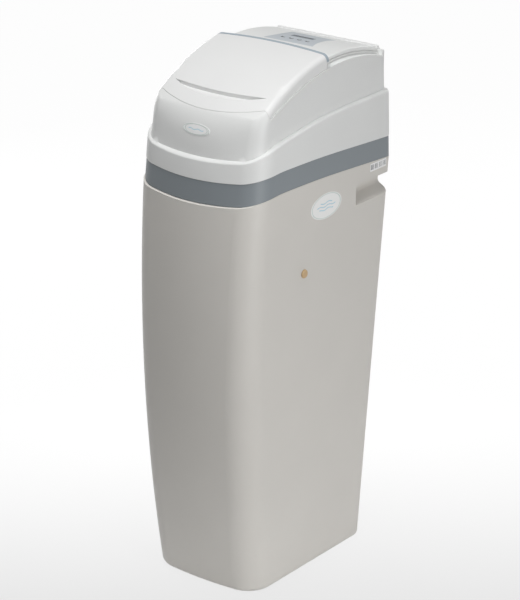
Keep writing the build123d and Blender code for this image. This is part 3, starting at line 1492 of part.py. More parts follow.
export_step(drive_motor.part, "parts/drive_motor.step")
export_step(motor_screws.part, "parts/motor_screws.step")
export_step(injector_cover.part, "parts/injector_cover.step")
export_step(injector_screws.part, "parts/injector_screws.step")
export_step(brine_elbow.part, "parts/brine_elbow.step")
export_step(drain_elbow.part, "parts/drain_elbow.step")
export_step(meter_turbine.part, "parts/meter_turbine.step")
export_step(bypass_body.part, "parts/bypass_body.step")
export_step(inlet_handle.part, "parts/inlet_handle.step")
export_step(outlet_handle.part, "parts/outlet_handle.step")
export_step(bypass_nuts.part, "parts/bypass_nuts.step")
export_step(port_seals.part, "parts/port_seals.step")
export_step(brine_well.part, "parts/brine_well.step")
export_step(well_cap.part, "parts/well_cap.step")
export_step(safety_valve.part, "parts/safety_valve.step")
export_step(float_rod.part, "parts/float_rod.step")
export_step(brine_float.part, "parts/brine_float.step")
export_step(pickup_tube.part, "parts/pickup_tube.step")
export_step(air_check.part, "parts/air_check.step")
export_step(brine_tube.part, "parts/brine_tube.step")
export_step(salt_grid.part, "parts/salt_grid.step")
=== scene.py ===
"""Looks of the cabinet water softener: finishes, fine detail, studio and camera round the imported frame."""

import json
import math

import bpy
from bpy.props import FloatProperty, FloatVectorProperty, PointerProperty
from bpy.types import Operator, Panel, PropertyGroup
from mathutils import Matrix, Vector


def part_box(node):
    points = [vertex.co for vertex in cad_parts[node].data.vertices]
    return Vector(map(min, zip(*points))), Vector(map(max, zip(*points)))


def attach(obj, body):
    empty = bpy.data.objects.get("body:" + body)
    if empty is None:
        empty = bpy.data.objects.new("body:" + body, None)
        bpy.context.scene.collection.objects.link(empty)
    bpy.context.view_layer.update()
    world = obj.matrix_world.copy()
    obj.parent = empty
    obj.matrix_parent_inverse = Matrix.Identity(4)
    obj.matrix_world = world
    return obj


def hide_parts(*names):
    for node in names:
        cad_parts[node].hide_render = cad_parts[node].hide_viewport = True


bl_info = {
    "name": "Cabinet water softener",
    "version": (1, 0, 0),
    "blender": (4, 5, 0),
    "location": "View3D > Sidebar > Softener",
    "description": "Dresses the packed cabinet water softener and sets up its studio",
    "category": "Object",
}

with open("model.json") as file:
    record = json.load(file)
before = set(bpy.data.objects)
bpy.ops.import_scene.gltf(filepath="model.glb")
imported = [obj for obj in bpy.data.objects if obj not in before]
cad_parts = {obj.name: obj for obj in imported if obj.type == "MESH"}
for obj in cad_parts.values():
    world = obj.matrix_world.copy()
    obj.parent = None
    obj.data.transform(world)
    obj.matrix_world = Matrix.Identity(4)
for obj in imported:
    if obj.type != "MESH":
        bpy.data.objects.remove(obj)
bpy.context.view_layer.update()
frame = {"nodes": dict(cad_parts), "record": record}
nodes = frame["nodes"]

MM = 0.001
FULL_TURN = 2.0 * math.pi
QUARTER_TURN = math.pi / 2.0

# Camera: the photograph's width and the view's shift in pixels, the sensor's width in millimetres, the floor
# point that it is placed from, and the far limit of its view
PHOTO_WIDTH = 520.0
SHIFT_PIXELS = (7.3, -4.6)
SENSOR = 36.0
FLOOR_POINT = (0.0, 13.0 * MM, 0.0)
CLIP_END = 60.0

# Floor: size, drop below the object, roughness, colours near the object and away from it, and the distances
# between which the first colour turns into the second
FLOOR_SIZE = 40.0
FLOOR_DROP = 0.5 * MM
FLOOR_ROUGHNESS = 0.9
FLOOR_NEAR = (0.85, 0.85, 0.85)
FLOOR_AWAY = (0.36, 0.36, 0.36)
FLOOR_FADE = (0.5, 1.1)

# What a camera or a reflection sees of the floor: white behind the object and grey before it, the distances
# behind and before between which one turns into the other, its strength, and its share over the lit floor
SHOWN_BEHIND = (1.0, 1.0, 1.0)
SHOWN_BEFORE = (0.70, 0.70, 0.70)
SHOWN_FADE = (-0.75, 0.75)
SHOWN_STRENGTH = 1.05
SHOWN_SHARE = 0.93

# White of the surrounding light
WHITE = (1.0, 1.0, 1.0)

# Softboxes: name, place, aim, width and height, and the setting that holds the power
SOFTBOXES = (
    ("key", (2.0, -0.7, 1.0), (0.0, 0.0, 0.8), (0.8, 1.8), "key_power"),
    ("top", (0.0, -1.0, 4.15), (0.0, 0.0, 1.1), (2.4, 2.4), "top_power"),
    ("low_side", (2.4, 0.5, 0.15), (0.15, 0.0, 0.15), (0.8, 0.8), "low_power"),
    ("rear_fill", (-0.3, 3.0, 1.4), (0.0, 0.0, 0.6), (1.4, 1.4), "fill_power"),
    ("left_fill", (-2.6, 1.3, 1.2), (0.0, 0.0, 0.6), (1.4, 1.4), "fill_power"),
)

# Sockets of a Mix node that is set to colours
MIX_SHARE = 0
MIX_FIRST = 6
MIX_SECOND = 7
MIX_RESULT = 2

# Mouldings of the fittings: finish, colour, roughness, grain and its depth in millimetres, tone, and nodes
FITTING_MOULDINGS = (
    ("valve_moulding", "black", 0.38, 0.8, 0.020, 0.25, ("valve_body", "bypass_body")),
    ("foot_moulding", "black", 0.55, 1.4, 0.030, 0.25, ("tank_base",)),
    ("small_black_moulding", "black", 0.45, 0.6, 0.010, 0.20, ("cord_gland", "key_switches")),
    ("grey_moulding", "grey", 0.45, 0.8, 0.015, 0.08,
     ("bypass_nuts", "drive_bracket", "bore_cap", "injector_cover", "drain_elbow", "riser_tube",
      "seal_stack", "display_module")),
    ("grid_moulding", "grey", 0.50, 1.2, 0.030, 0.10, ("salt_grid",)),
    ("white_moulding", "white", 0.40, 0.8, 0.012, 0.05,
     ("brine_well", "well_cap", "plug_nut", "safety_valve", "air_check", "brine_float", "brine_elbow",
      "meter_turbine", "bottom_distributor", "top_distributor")),
    ("gear_moulding", "gear", 0.36, 0.5, 0.006, 0.04, ("drive_gear", "motor_pinion")),
    ("inlet_moulding", "inlet", 0.38, 0.9, 0.012, 0.05, ("inlet_handle",)),
    ("outlet_moulding", "outlet", 0.38, 0.9, 0.012, 0.05, ("outlet_handle",)),
)

# Metals: finish, colour, roughness, the axis that the lines run across, and their nodes
FITTING_METALS = (
    ("turned_brass", "brass", 0.25, "x", ("piston",)),
    ("ground_rod", "steel", 0.21, "x", ("piston_rod",)),
    ("float_rod_steel", "steel", 0.27, "z", ("float_rod",)),
    ("motor_can", "steel", 0.37, "z", ("drive_motor",)),
    ("screw_plating", "steel", 0.33, "y",
     ("board_screws", "bracket_screws", "motor_screws", "injector_screws")),
)

# Key signs: which way each crescent opens, to the side and to the rear
KEY_OPENINGS = ((0.45, 0.9), (0.0, 1.0), (-0.45, 0.9), (0.0, 1.0))

# Shells: name, the node it stands for, body, slot, and the fold in degrees up to which it is shaded smooth
SHELLS = (
    ("cover_shell", "top_cover", "housing", "cover_plastic", 50.0),
    ("lid_shell", "salt_lid", "lid", "lid_plastic", 40.0),
)

# Fold up to which a new piece is shaded smooth, and distances within which a mesh's points are merged
SMOOTH_ANGLE = math.radians(35.0)
SHELL_MERGE = 0.002 * MM
THREAD_MERGE = 0.001 * MM


def colour_prop(name, description, value):
    """A colour that the user can change, as linear red, green and blue."""
    return FloatVectorProperty(name=name, description=description, default=value, subtype="COLOR", size=3,
                               min=0.0, max=1.0)


def size_prop(name, description, millimetres):
    """A length that the user can change, given here in millimetres."""
    return FloatProperty(name=name, description=description, default=millimetres * MM, unit="LENGTH",
                         subtype="DISTANCE", precision=5)


def angle_prop(name, description, degrees):
    """An angle that the user can change, given here in degrees."""
    return FloatProperty(name=name, description=description, default=math.radians(degrees), subtype="ANGLE")


def power_prop(name, description, watts):
    """A lamp's power that the user can change, in watts."""
    return FloatProperty(name=name, description=description, default=watts, unit="POWER", min=0.0)


class SoftenerColours(PropertyGroup):
    """Colours of the mouldings, the films and the fittings."""

    cabinet: colour_prop("Cabinet", "Warm light grey of the cabinet moulding", (0.690, 0.668, 0.630))
    cover: colour_prop("Cover", "Neutral light grey of the top cover", (0.800, 0.808, 0.800))
    lid: colour_prop("Lid", "Light grey of the sliding lid", (0.825, 0.828, 0.823))
    band: colour_prop("Band", "Slate grey of the band", (0.250, 0.278, 0.298))
    strip: colour_prop("Strip", "Blue grey of the lid's edge strip", (0.400, 0.460, 0.515))
    plug: colour_prop("Plug", "Beige of the overflow plug", (0.600, 0.420, 0.230))
    film: colour_prop("Panel film", "Pale blue grey of the panel film", (0.600, 0.640, 0.675))
    ink: colour_prop("Ink", "Dark ink on the films", (0.030, 0.032, 0.036))
    window: colour_prop("Window", "Blue grey of the display window's edge", (0.400, 0.450, 0.490))
    glass: colour_prop("Glass", "Grey of the display behind its window", (0.380, 0.410, 0.440))
    digits: colour_prop("Digits", "Dark grey of the display's digits", (0.240, 0.270, 0.300))
    badge: colour_prop("Badge", "White of the front badge", (0.960, 0.970, 0.970))
    rim: colour_prop("Badge rim", "Pale green grey of the badge's rim", (0.640, 0.700, 0.670))
    label: colour_prop("Side label", "White of the side label", (0.920, 0.930, 0.920))
    mark: colour_prop("Rear label", "White of the rear label", (0.920, 0.920, 0.920))
    bars: colour_prop("Bars", "Black of the rear label's bars", (0.050, 0.060, 0.070))
    ring: colour_prop("Label ring", "Green grey of the badge's and label's rings", (0.360, 0.500, 0.440))
    tint: colour_prop("Label tint", "Blue of the labels' pattern", (0.200, 0.560, 0.760))
    black: colour_prop("Black plastic", "Black of the valve, bypass and foot", (0.030, 0.030, 0.033))
    grey: colour_prop("Grey plastic", "Grey of the unions, the brackets and the grid", (0.300, 0.310, 0.320))
    white: colour_prop("White plastic", "White of the brine well and small valves", (0.780, 0.780, 0.750))
    gear: colour_prop("Gear plastic", "Cream of the gear and the pinion", (0.720, 0.690, 0.580))
    inlet: colour_prop("Inlet lever", "Red of the inlet lever", (0.480, 0.060, 0.045))
    outlet: colour_prop("Outlet lever", "Blue of the outlet lever", (0.060, 0.170, 0.450))
    tube: colour_prop("Tube", "Milky white of the brine tubes", (0.760, 0.770, 0.780))
    rubber: colour_prop("Rubber", "Black of the seals", (0.022, 0.022, 0.023))
    laminate: colour_prop("Laminate", "Straw yellow of the vessel's glass winding", (0.500, 0.440, 0.270))
    resin: colour_prop("Resin", "Amber of the resin beads", (0.480, 0.220, 0.050))
    brass: colour_prop("Brass", "Yellow of the turned brass", (0.780, 0.570, 0.260))
    steel: colour_prop("Steel", "Grey of the plated and ground steel", (0.620, 0.620, 0.620))
    board: colour_prop("Board", "Green of the control board", (0.030, 0.160, 0.070))
    tin: colour_prop("Tin", "Pale grey of the control board's tinned pads", (0.620, 0.620, 0.580))


class SoftenerSizes(PropertyGroup):
    """Sizes of the fine detail."""

    grain: size_prop("Grain", "Width of one cell of the moulded grain", 0.9)
    bead: size_prop("Bead", "Width of one bead of resin", 1.2)
    pitch: size_prop("Thread pitch", "Rise of the port threads in one turn", 2.3)
    rim: size_prop("Badge rim", "Width of the rim round the front badge", 1.1)
    sign: size_prop("Key sign", "Width of the sign on a key", 10.5)


class SoftenerStudio(PropertyGroup):
    """Camera, lamps and surrounding light."""

    lens: FloatProperty(name="Lens", description="Focal length", default=175.0, unit="CAMERA", min=20.0)
    azimuth: angle_prop("Azimuth", "Camera's turn round the object", 38.0)
    elevation: angle_prop("Elevation", "Camera's height angle", 21.1)
    roll: angle_prop("Roll", "Camera's tilt about its own line of sight", -0.1)
    distance: size_prop("Distance", "From the camera to the object's floor point", 5587.1)
    right: size_prop("Right", "Camera's shift along its own right", -24.5)
    up: size_prop("Up", "Camera's shift along its own up", 549.0)
    key_power: power_prop("Key power", "Power of the tall softbox on the right", 20.5)
    top_power: power_prop("Top power", "Power of the softbox overhead", 104.0)
    low_power: power_prop("Low power", "Power of the small low softbox on the right", 2.5)
    fill_power: power_prop("Fill power", "Power of each softbox behind the object", 26.0)
    world_level: FloatProperty(name="World level", description="Strength of the plain surrounding light",
                               default=0.08, min=0.0)


def paint(key):
    """One of the user's colours, as three numbers."""
    return tuple(getattr(bpy.context.scene.softener_colours, key))


class Level:
    """A number in a node tree, with Python's arithmetic."""

    def __init__(self, recipe, socket):
        self.recipe = recipe
        self.socket = socket

    def _math(self, operation, *values):
        return self.recipe.node("ShaderNodeMath", {"operation": operation}, dict(enumerate(values)))

    def __add__(self, other):
        return self._math("ADD", self, other)

    __radd__ = __add__

    def __sub__(self, other):
        return self._math("SUBTRACT", self, other)

    def __rsub__(self, other):
        return self._math("SUBTRACT", other, self)

    def __mul__(self, other):
        return self._math("MULTIPLY", self, other)

    __rmul__ = __mul__

    def __truediv__(self, other):
        return self._math("DIVIDE", self, other)

    def __rtruediv__(self, other):
        return self._math("DIVIDE", other, self)

    def __gt__(self, other):
        return self._math("GREATER_THAN", self, other)

    def __lt__(self, other):
        return self._math("LESS_THAN", self, other)

    def __abs__(self):
        return self._math("ABSOLUTE", self)

    def squared(self):
        """This number times itself."""
        return self._math("POWER", self, 2.0)

    def least(self, other):
        """The smaller of this number and another."""
        return self._math("MINIMUM", self, other)

    def most(self, other):
        """The larger of this number and another."""
        return self._math("MAXIMUM", self, other)

    def sine(self):
        """Sine of this number, in radians."""
        return self._math("SINE", self)

    def turn(self, other):
        """Angle of the point that has this number as its height and another as its width."""
        return self._math("ARCTAN2", self, other)

    def root(self):
        """Square root of this number."""
        return self._math("SQRT", self)

    def wrapped(self, period):
        """This number modulo a period, never negative."""
        return self._math("FLOORED_MODULO", self, period)

    def ramp(self, start, end):
        """0 below start, 1 above end and smooth between them."""
        return self.recipe.node("ShaderNodeMapRange", {"interpolation_type": "SMOOTHSTEP"},
                                {"Value": self, "From Min": start, "From Max": end,
                                 "To Min": 0.0, "To Max": 1.0})

    def between(self, low, high):
        """1 where this number lies between two others, and 0 elsewhere."""
        return (self > low) * (self < high)

    def near(self, middle, reach):
        """1 where this number is less than a reach from a middle, and 0 elsewhere."""
        return abs(self - middle) < reach


class Recipe:
    """A node tree, made node by node."""

    def __init__(self, owner):
        owner.use_nodes = True
        self.tree = owner.node_tree
        self.tree.nodes.clear()

    def put(self, node, name, value):
        """Sets or links one socket of a node."""
        socket = node.inputs[name]
        if isinstance(value, Level):
            self.tree.links.new(value.socket, socket)
        elif socket.type == "RGBA" and len(value) == 3:
            socket.default_value = (*value, 1.0)
        else:
            socket.default_value = value

    def add(self, kind, options=None, sockets=None):
        """Adds a node with its options, which are set first, and the values or links of its sockets."""
        made = self.tree.nodes.new(kind)
        for key, value in (options or {}).items():
            setattr(made, key, value)
        for key, value in (sockets or {}).items():
            self.put(made, key, value)
        return made

    def node(self, kind, options=None, sockets=None, output=0):
        """Adds a node and gives one of its outputs."""
        return Level(self, self.add(kind, options, sockets).outputs[output])

    def ray(self, kind):
        """1 for a ray of this kind, and 0 for any other."""
        return self.node("ShaderNodeLightPath", output="Is " + kind + " Ray")

    def blend(self, share, first, second):
        """Colour between two colours by a share from 0 to 1."""
        return self.node("ShaderNodeMix", {"data_type": "RGBA"},
                         {MIX_SHARE: share, MIX_FIRST: first, MIX_SECOND: second}, output=MIX_RESULT)

    def either(self, share, first, second):
        """Shader between two shaders by a share from 0 to 1."""
        return self.node("ShaderNodeMixShader", None, dict(enumerate((share, first, second))))


class Finish(Recipe):
    """One material, round one Principled shader."""

    def __init__(self, name, colour, roughness, metallic=0.0, **fixed):
        self.material = bpy.data.materials.new(name)
        super().__init__(self.material)
        self.colour = colour
        self.ground = colour
        self.roughness = roughness
        self.shader = self.add("ShaderNodeBsdfPrincipled", None,
                               {"Base Color": colour, "Roughness": roughness, "Metallic": metallic})
        for key, value in fixed.items():
            self.give(key.replace("_", " "), value)
        self.surface = Level(self, self.shader.outputs["BSDF"])
        self.output = self.add("ShaderNodeOutputMaterial", None, {"Surface": self.surface})

    def give(self, name, value):
        """Sets or links one socket of the shader."""
        self.put(self.shader, name, value)

    def place(self):
        """Object coordinates, in metres."""
        return self.node("ShaderNodeTexCoord", output="Object")

    def axes(self):
        """The three object coordinates as numbers."""
        split = self.add("ShaderNodeSeparateXYZ", None, {"Vector": self.place()})
        return [Level(self, socket) for socket in split.outputs]

    def noise(self, width, detail=2.0, roughness=0.5, stretch=None):
        """Noise from 0 to 1 with cells of about this width in metres."""
        where = self.place()
        if stretch:
            where = self.node("ShaderNodeMapping", None, {"Vector": where, "Scale": stretch})
        return self.node("ShaderNodeTexNoise", None,
                         {"Vector": where, "Scale": 1.0 / width, "Detail": detail, "Roughness": roughness})

    def cells(self, width):
        """Distance to the nearest cell centre, for cells of about this width in metres."""
        return self.node("ShaderNodeTexVoronoi", {"feature": "F1"},
                         {"Vector": self.place(), "Scale": 1.0 / width})

    def bump(self, height, depth):
        """Raises the surface by a height from 0 to 1, with its depth in metres."""
        self.give("Normal", self.node("ShaderNodeBump", None,
                                      {"Height": height, "Distance": depth, "Strength": 1.0}))

    def vary_colour(self, share, tone):
        """Lets the ground colour run from darker to lighter by a tone, as a share from 0 to 1 says."""
        darker = tuple(value * (1.0 - tone) for value in self.colour)
        lighter = tuple(min(1.0, value * (1.0 + tone)) for value in self.colour)
        self.ground = self.blend(share, darker, lighter)
        self.give("Base Color", self.ground)

    def vary_roughness(self, *parts):
        """Swings the roughness about its middle by (level, swing) pairs, with levels from 0 to 1."""
        self.give("Roughness", sum(((level - 0.5) * swing for level, swing in parts), self.roughness))


def moulded(name, colour, roughness=0.42, grain=0.9, depth=0.012, tone=0.05):
    """Moulded plastic: fine spark-eroded grain, faint flow mottling and handling marks in the gloss."""
    finish = Finish(name, colour, roughness, Specular_IOR_Level=0.42)
    fine = finish.noise(grain * MM, detail=3.0, roughness=0.65)
    mottle = finish.noise(160.0 * MM)
    finish.vary_colour(mottle * 0.7 + fine * 0.3, tone)
    finish.vary_roughness((mottle, 0.10), (fine, 0.08))
    finish.bump(fine, depth * MM)
    return finish


def turned(name, colour, roughness, along):
    """Turned or ground metal: fine lines across the turning axis and a few darker scuffs."""
    finish = Finish(name, colour, roughness, metallic=1.0)
    across_lines, along_lines = 1.0, 0.04
    stretch = tuple(across_lines if axis == along else along_lines for axis in "xyz")
    lines = finish.noise(0.5 * MM, detail=3.0, roughness=0.7, stretch=stretch)
    scuffs = finish.noise(12.0 * MM, detail=4.0, roughness=0.6)
    finish.vary_colour(scuffs, tone=0.12)
    finish.vary_roughness((lines, 0.16), (scuffs, 0.12))
    finish.bump(lines, depth=0.006 * MM)
    return finish


def rubbery(name, colour, roughness=0.63):
    """Soft rubber: even fine pores and a dusty bloom."""
    bloom_gain, bloom_lift = 1.3, 0.004
    finish = Finish(name, colour, roughness, Specular_IOR_Level=0.3)
    pores = finish.noise(0.6 * MM)
    bloom = finish.noise(20.0 * MM, detail=3.0, roughness=0.6)
    dusty = tuple(value * bloom_gain + bloom_lift for value in colour)
    finish.give("Base Color", finish.blend(bloom, colour, dusty))
    finish.vary_roughness((bloom, 0.12), (pores, 0.06))
    finish.bump(pores, depth=0.008 * MM)
    return finish


def wound(name, colour, middle_y, radius):
    """Glass winding under clear resin: two crossing sets of rovings on a straw ground."""
    roving_width = 7.2 * MM
    roving_slope = 0.55
    roving_share, thread_share = 0.7, 0.3
    finish = Finish(name, colour, roughness=0.315, Coat_Weight=0.5, Coat_Roughness=0.18)
    x, y, z = finish.axes()
    around = (y - middle_y).turn(x) * radius
    rovings = FULL_TURN / roving_width
    first = ((around * roving_slope + z) * rovings).sine()
    second = ((around * roving_slope - z) * rovings).sine()
    threads = finish.noise(1.2 * MM, detail=3.0, roughness=0.6, stretch=(1.0, 1.0, 0.35))
    weave = (first.most(second) * 0.5 + 0.5) * roving_share + threads * thread_share
    finish.vary_colour(weave, tone=0.22)
    finish.vary_roughness((threads, 0.15))
    finish.bump(weave, depth=0.10 * MM)
    return finish


def beaded(name, colour, width):
    """Loose resin beads, packed against each other, each with painted shade darkening it towards its edge.
    """
    bead_edge = 1.6
    finish = Finish(name, colour, roughness=0.38, Coat_Weight=0.2)
    drift = finish.noise(30.0 * MM, detail=3.0, roughness=0.6)
    dome_and_gap_shade = 1.0 - (finish.cells(width) * bead_edge).least(1.0).squared()
    # Each bead's colour runs from light in its middle to dark at its edge: painted shade in the gaps between
    # the beads; the same dome also raises the bump.
    finish.vary_colour(drift * 0.5 + dome_and_gap_shade * 0.5, tone=0.35)
    finish.vary_roughness((drift, 0.2))
    finish.bump(dome_and_gap_shade, depth=0.5 * width)
    return finish


def printed_board(name, colour, tin):
    """Lacquered board: runs of copper under green lacquer and small tinned pads."""
    run_pitch_x, run_width_x = 2.1 * MM, 0.7 * MM
    run_pitch_y, run_width_y = 2.4 * MM, 0.8 * MM
    across_above, along_below = 0.52, 0.46
    run_gain = 1.9
    pad_reach = 0.6 * MM
    pad_pitch_x, pad_pitch_y = 6.4 * MM, 7.2 * MM
    finish = Finish(name, colour, roughness=0.32, Coat_Weight=0.6, Coat_Roughness=0.1)
    x, y, _ = finish.axes()
    areas = finish.noise(11.0 * MM, detail=1.0, roughness=0.4)
    across = (x.wrapped(run_pitch_x) < run_width_x) * (areas > across_above)
    along = (y.wrapped(run_pitch_y) < run_width_y) * (areas < along_below)
    runs = across.most(along)
    pads = (x.wrapped(pad_pitch_x).near(pad_pitch_x / 2.0, pad_reach)
            * y.wrapped(pad_pitch_y).near(pad_pitch_y / 2.0, pad_reach))
    copper = tuple(value * run_gain for value in colour)
    finish.give("Base Color", finish.blend(pads, finish.blend(runs, colour, copper), tin))
    finish.give("Metallic", pads)
    finish.vary_roughness((areas, 0.1), (pads, 0.1))
    finish.bump(runs.most(pads), depth=0.03 * MM)
    return finish


def milky(name, colour, roughness=0.35):
    """Drawn tube: milky, with faint lengthwise die lines."""
    finish = Finish(name, colour, roughness, Coat_Weight=0.15)
    cloud = finish.noise(30.0 * MM)
    lines = finish.noise(0.8 * MM, stretch=(1.0, 1.0, 0.05))
    finish.vary_colour(cloud * 0.6 + lines * 0.4, tone=0.06)
    finish.vary_roughness((lines, 0.12))
    finish.bump(lines, depth=0.010 * MM)
    return finish


def film(name, colour, roughness=0.36):
    """Printed film: even tint with a fine satin tooth and a slow cloud in its gloss."""
    finish = Finish(name, colour, roughness, Coat_Weight=0.25, Coat_Roughness=0.22)
    tooth = finish.noise(0.3 * MM)
    cloud = finish.noise(40.0 * MM)
    finish.vary_colour(cloud * 0.6 + tooth * 0.4, tone=0.025)
    finish.vary_roughness((tooth, 0.08), (cloud, 0.06))
    finish.bump(tooth, depth=0.003 * MM)
    return finish


def oval(across, up, middle, size):
    """How far out a point is in an oval, where 1 is its edge."""
    width = (across - middle[0]) / size[0]
    height = (up - middle[1]) / size[1]
    return (width * width + height * height).root()


def ripple(along, middle, length, height):
    """Height of a wavy line, with its wave's length and height in metres."""
    return ((along - middle) * (FULL_TURN / length)).sine() * height


def span(node):
    """The middle and the half size of a CAD node's box at rest."""
    low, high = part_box(node)
    return (high + low) / 2.0, (high - low) / 2.0


def dress(finish, *names):
    """Gives CAD nodes' objects a finish."""
    for name in names:
        slots = nodes[name].data.materials
        slots.clear()
        slots.append(finish.material)


def settle(obj, name, body, finish):
    """Names a finished piece, brings its place into its mesh, and gives it its body, slot and finish."""
    obj.name = name
    obj.data.name = name
    bpy.ops.object.select_all(action="DESELECT")
    obj.select_set(True)
    bpy.context.view_layer.objects.active = obj
    bpy.ops.object.transform_apply(location=True, rotation=True, scale=True)
    bpy.ops.object.shade_smooth_by_angle(angle=SMOOTH_ANGLE)
    obj.data.materials.clear()
    obj.data.materials.append(finish.material)
    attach(obj, body)


def apply_modifier(obj, kind, **values):
    """Adds a modifier with its values and applies it."""
    modifier = obj.modifiers.new(kind.lower(), kind)
    for key, value in values.items():
        setattr(modifier, key, value)
    bpy.ops.object.modifier_apply(modifier=modifier.name)


def edit(*steps):
    """Runs edit-mode operators one after another on the active mesh, with everything selected first."""
    bpy.ops.object.mode_set(mode="EDIT")
    bpy.ops.mesh.select_all(action="SELECT")
    for operator, values in steps:
        operator(**values)
    bpy.ops.object.mode_set(mode="OBJECT")


def lay_floor(azimuth):
    """Lays the pale floor, which keeps the object's shadow and shows white behind it."""
    bpy.ops.object.select_all(action="DESELECT")
    bpy.ops.mesh.primitive_plane_add(size=FLOOR_SIZE, location=(0.0, 0.0, -FLOOR_DROP))
    floor = bpy.context.object
    floor.name = "floor"
    finish = Finish("floor", FLOOR_NEAR, FLOOR_ROUGHNESS, Specular_IOR_Level=0.0)
    x, y, _ = finish.axes()
    away = (x * x + y * y).root().ramp(*FLOOR_FADE)
    finish.give("Base Color", finish.blend(away, FLOOR_NEAR, FLOOR_AWAY))
    before = (x * math.sin(azimuth) - y * math.cos(azimuth)).ramp(*SHOWN_FADE)
    shown = finish.blend(before, SHOWN_BEHIND, SHOWN_BEFORE)
    glow = finish.node("ShaderNodeEmission", None, {"Color": shown, "Strength": SHOWN_STRENGTH})
    seen = finish.ray("Camera").most(finish.ray("Glossy")).most(finish.ray("Transmission"))
    finish.put(finish.output, "Surface", finish.either(seen * SHOWN_SHARE, finish.surface, glow))
    floor.data.materials.append(finish.material)


def surround(scene, strength):
    """Sets plain surrounding light of a strength, which a camera and clear pieces see as white."""
    scene.world = bpy.data.worlds.new("studio")
    recipe = Recipe(scene.world)
    light = recipe.node("ShaderNodeBackground", None, {"Color": WHITE, "Strength": strength})
    backdrop = recipe.node("ShaderNodeBackground", None, {"Color": WHITE, "Strength": 1.0})
    seen = recipe.ray("Camera").most(recipe.ray("Transmission"))
    recipe.add("ShaderNodeOutputWorld", None, {"Surface": recipe.either(seen, light, backdrop)})


def softbox(scene, name, place, aim, size, power):
    """Hangs a softbox of a width and a height, aimed at a point."""
    lamp = bpy.data.lights.new(name, "AREA")
    lamp.shape = "RECTANGLE"
    lamp.size, lamp.size_y = size
    lamp.energy = power
    obj = bpy.data.objects.new(name, lamp)
    scene.collection.objects.link(obj)
    obj.location = place
    obj.rotation_euler = (Vector(aim) - Vector(place)).to_track_quat("-Z", "Y").to_euler()


class SOFTENER_OT_camera(Operator):
    """Places the camera at the photograph's angle"""

    bl_idname = "softener.camera"
    bl_label = "Camera"

    def execute(self, context):
        studio = context.scene.softener_studio
        turn, rise, roll = studio.azimuth, studio.elevation, studio.roll
        back = Vector((math.sin(turn) * math.cos(rise), -math.cos(turn) * math.cos(rise), math.sin(rise)))
        level_right = Vector((math.cos(turn), math.sin(turn), 0.0))
        level_up = back.cross(level_right)
        right = level_right * math.cos(roll) + level_up * math.sin(roll)
        up = back.cross(right)
        data = bpy.data.cameras.new("camera")
        data.sensor_fit = "HORIZONTAL"
        data.sensor_width = SENSOR
        data.lens = studio.lens
        data.shift_x = SHIFT_PIXELS[0] / PHOTO_WIDTH
        data.shift_y = SHIFT_PIXELS[1] / PHOTO_WIDTH
        data.clip_end = CLIP_END
        camera = bpy.data.objects.new("camera", data)
        context.scene.collection.objects.link(camera)
        place = back * studio.distance + right * studio.right + up * studio.up + Vector(FLOOR_POINT)
        camera.matrix_world = Matrix.Translation(place) @ Matrix((right, up, back)).transposed().to_4x4()
        context.scene.camera = camera
        return {"FINISHED"}


class SOFTENER_OT_stage(Operator):
    """Lays the pale floor and sets the lamps and the surrounding light"""

    bl_idname = "softener.stage"
    bl_label = "Stage"

    def execute(self, context):
        studio = context.scene.softener_studio
        lay_floor(studio.azimuth)
        surround(context.scene, studio.world_level)
        for name, place, aim, size, power in SOFTBOXES:
            softbox(context.scene, name, place, aim, size, getattr(studio, power))
        context.scene.view_settings.view_transform = "Standard"
        return {"FINISHED"}


class SOFTENER_OT_mouldings(Operator):
    """Finishes the cabinet, the band, the cover and the lid"""

    bl_idname = "softener.mouldings"
    bl_label = "Mouldings"

    def execute(self, context):
        grain = context.scene.softener_sizes.grain / MM
        dress(moulded("cabinet_moulding", paint("cabinet"), grain=grain), "cabinet")
        dress(moulded("band_moulding", paint("band"), grain=grain), "trim_band")
        dress(moulded("cover_moulding", paint("cover"), grain=grain), "top_cover")
        dress(moulded("lid_moulding", paint("lid"), roughness=0.36, grain=grain, depth=0.008, tone=0.03),
              "salt_lid")
        dress(moulded("strip_moulding", paint("strip"), roughness=0.34, grain=grain, depth=0.008),
              "lid_edge_strip")
        dress(moulded("plug_moulding", paint("plug"), roughness=0.40, grain=grain), "overflow_plug")
        return {"FINISHED"}


class SOFTENER_OT_panel_film(Operator):
    """Finishes the control panel's film, with a faint line round its window"""

    bl_idname = "softener.panel_film"
    bl_label = "Panel film"

    def execute(self, context):
        line_width = 1.6 * MM
        line_share = 0.12
        finish = film("panel_film", paint("film"))
        x, y, _ = finish.axes()
        middle, half = span("display_window")
        outlined = x.near(middle.x, half.x + line_width) * y.near(middle.y, half.y + line_width)
        finish.give("Base Color", finish.blend(outlined * line_share, finish.ground, paint("ink")))
        dress(finish, "panel_overlay")
        return {"FINISHED"}


class SOFTENER_OT_keys(Operator):
    """Finishes the four keys, each with a dark crescent"""

    bl_idname = "softener.keys"
    bl_label = "Keys"

    def execute(self, context):
        flatness, bite_shift, bite_size = 0.8, 0.7, 0.75
        wide = context.scene.softener_sizes.sign / 2.0
        tall = flatness * wide
        for number, (side, rise) in enumerate(KEY_OPENINGS, 1):
            key = "key_" + str(number)
            middle, _ = span(key)
            finish = film("key_film_" + str(number), paint("film"), roughness=0.5)
            x, y, _ = finish.axes()
            disc = oval(x, y, (middle.x, middle.y), (wide, tall))
            bite = oval(x, y, (middle.x + side * wide * bite_shift, middle.y + rise * tall * bite_shift),
                        (bite_size * wide, bite_size * tall))
            crescent = (disc < 1.0) * (bite > 1.0)
            finish.give("Base Color", finish.blend(crescent, finish.ground, paint("ink")))
            dress(finish, key)
        return {"FINISHED"}


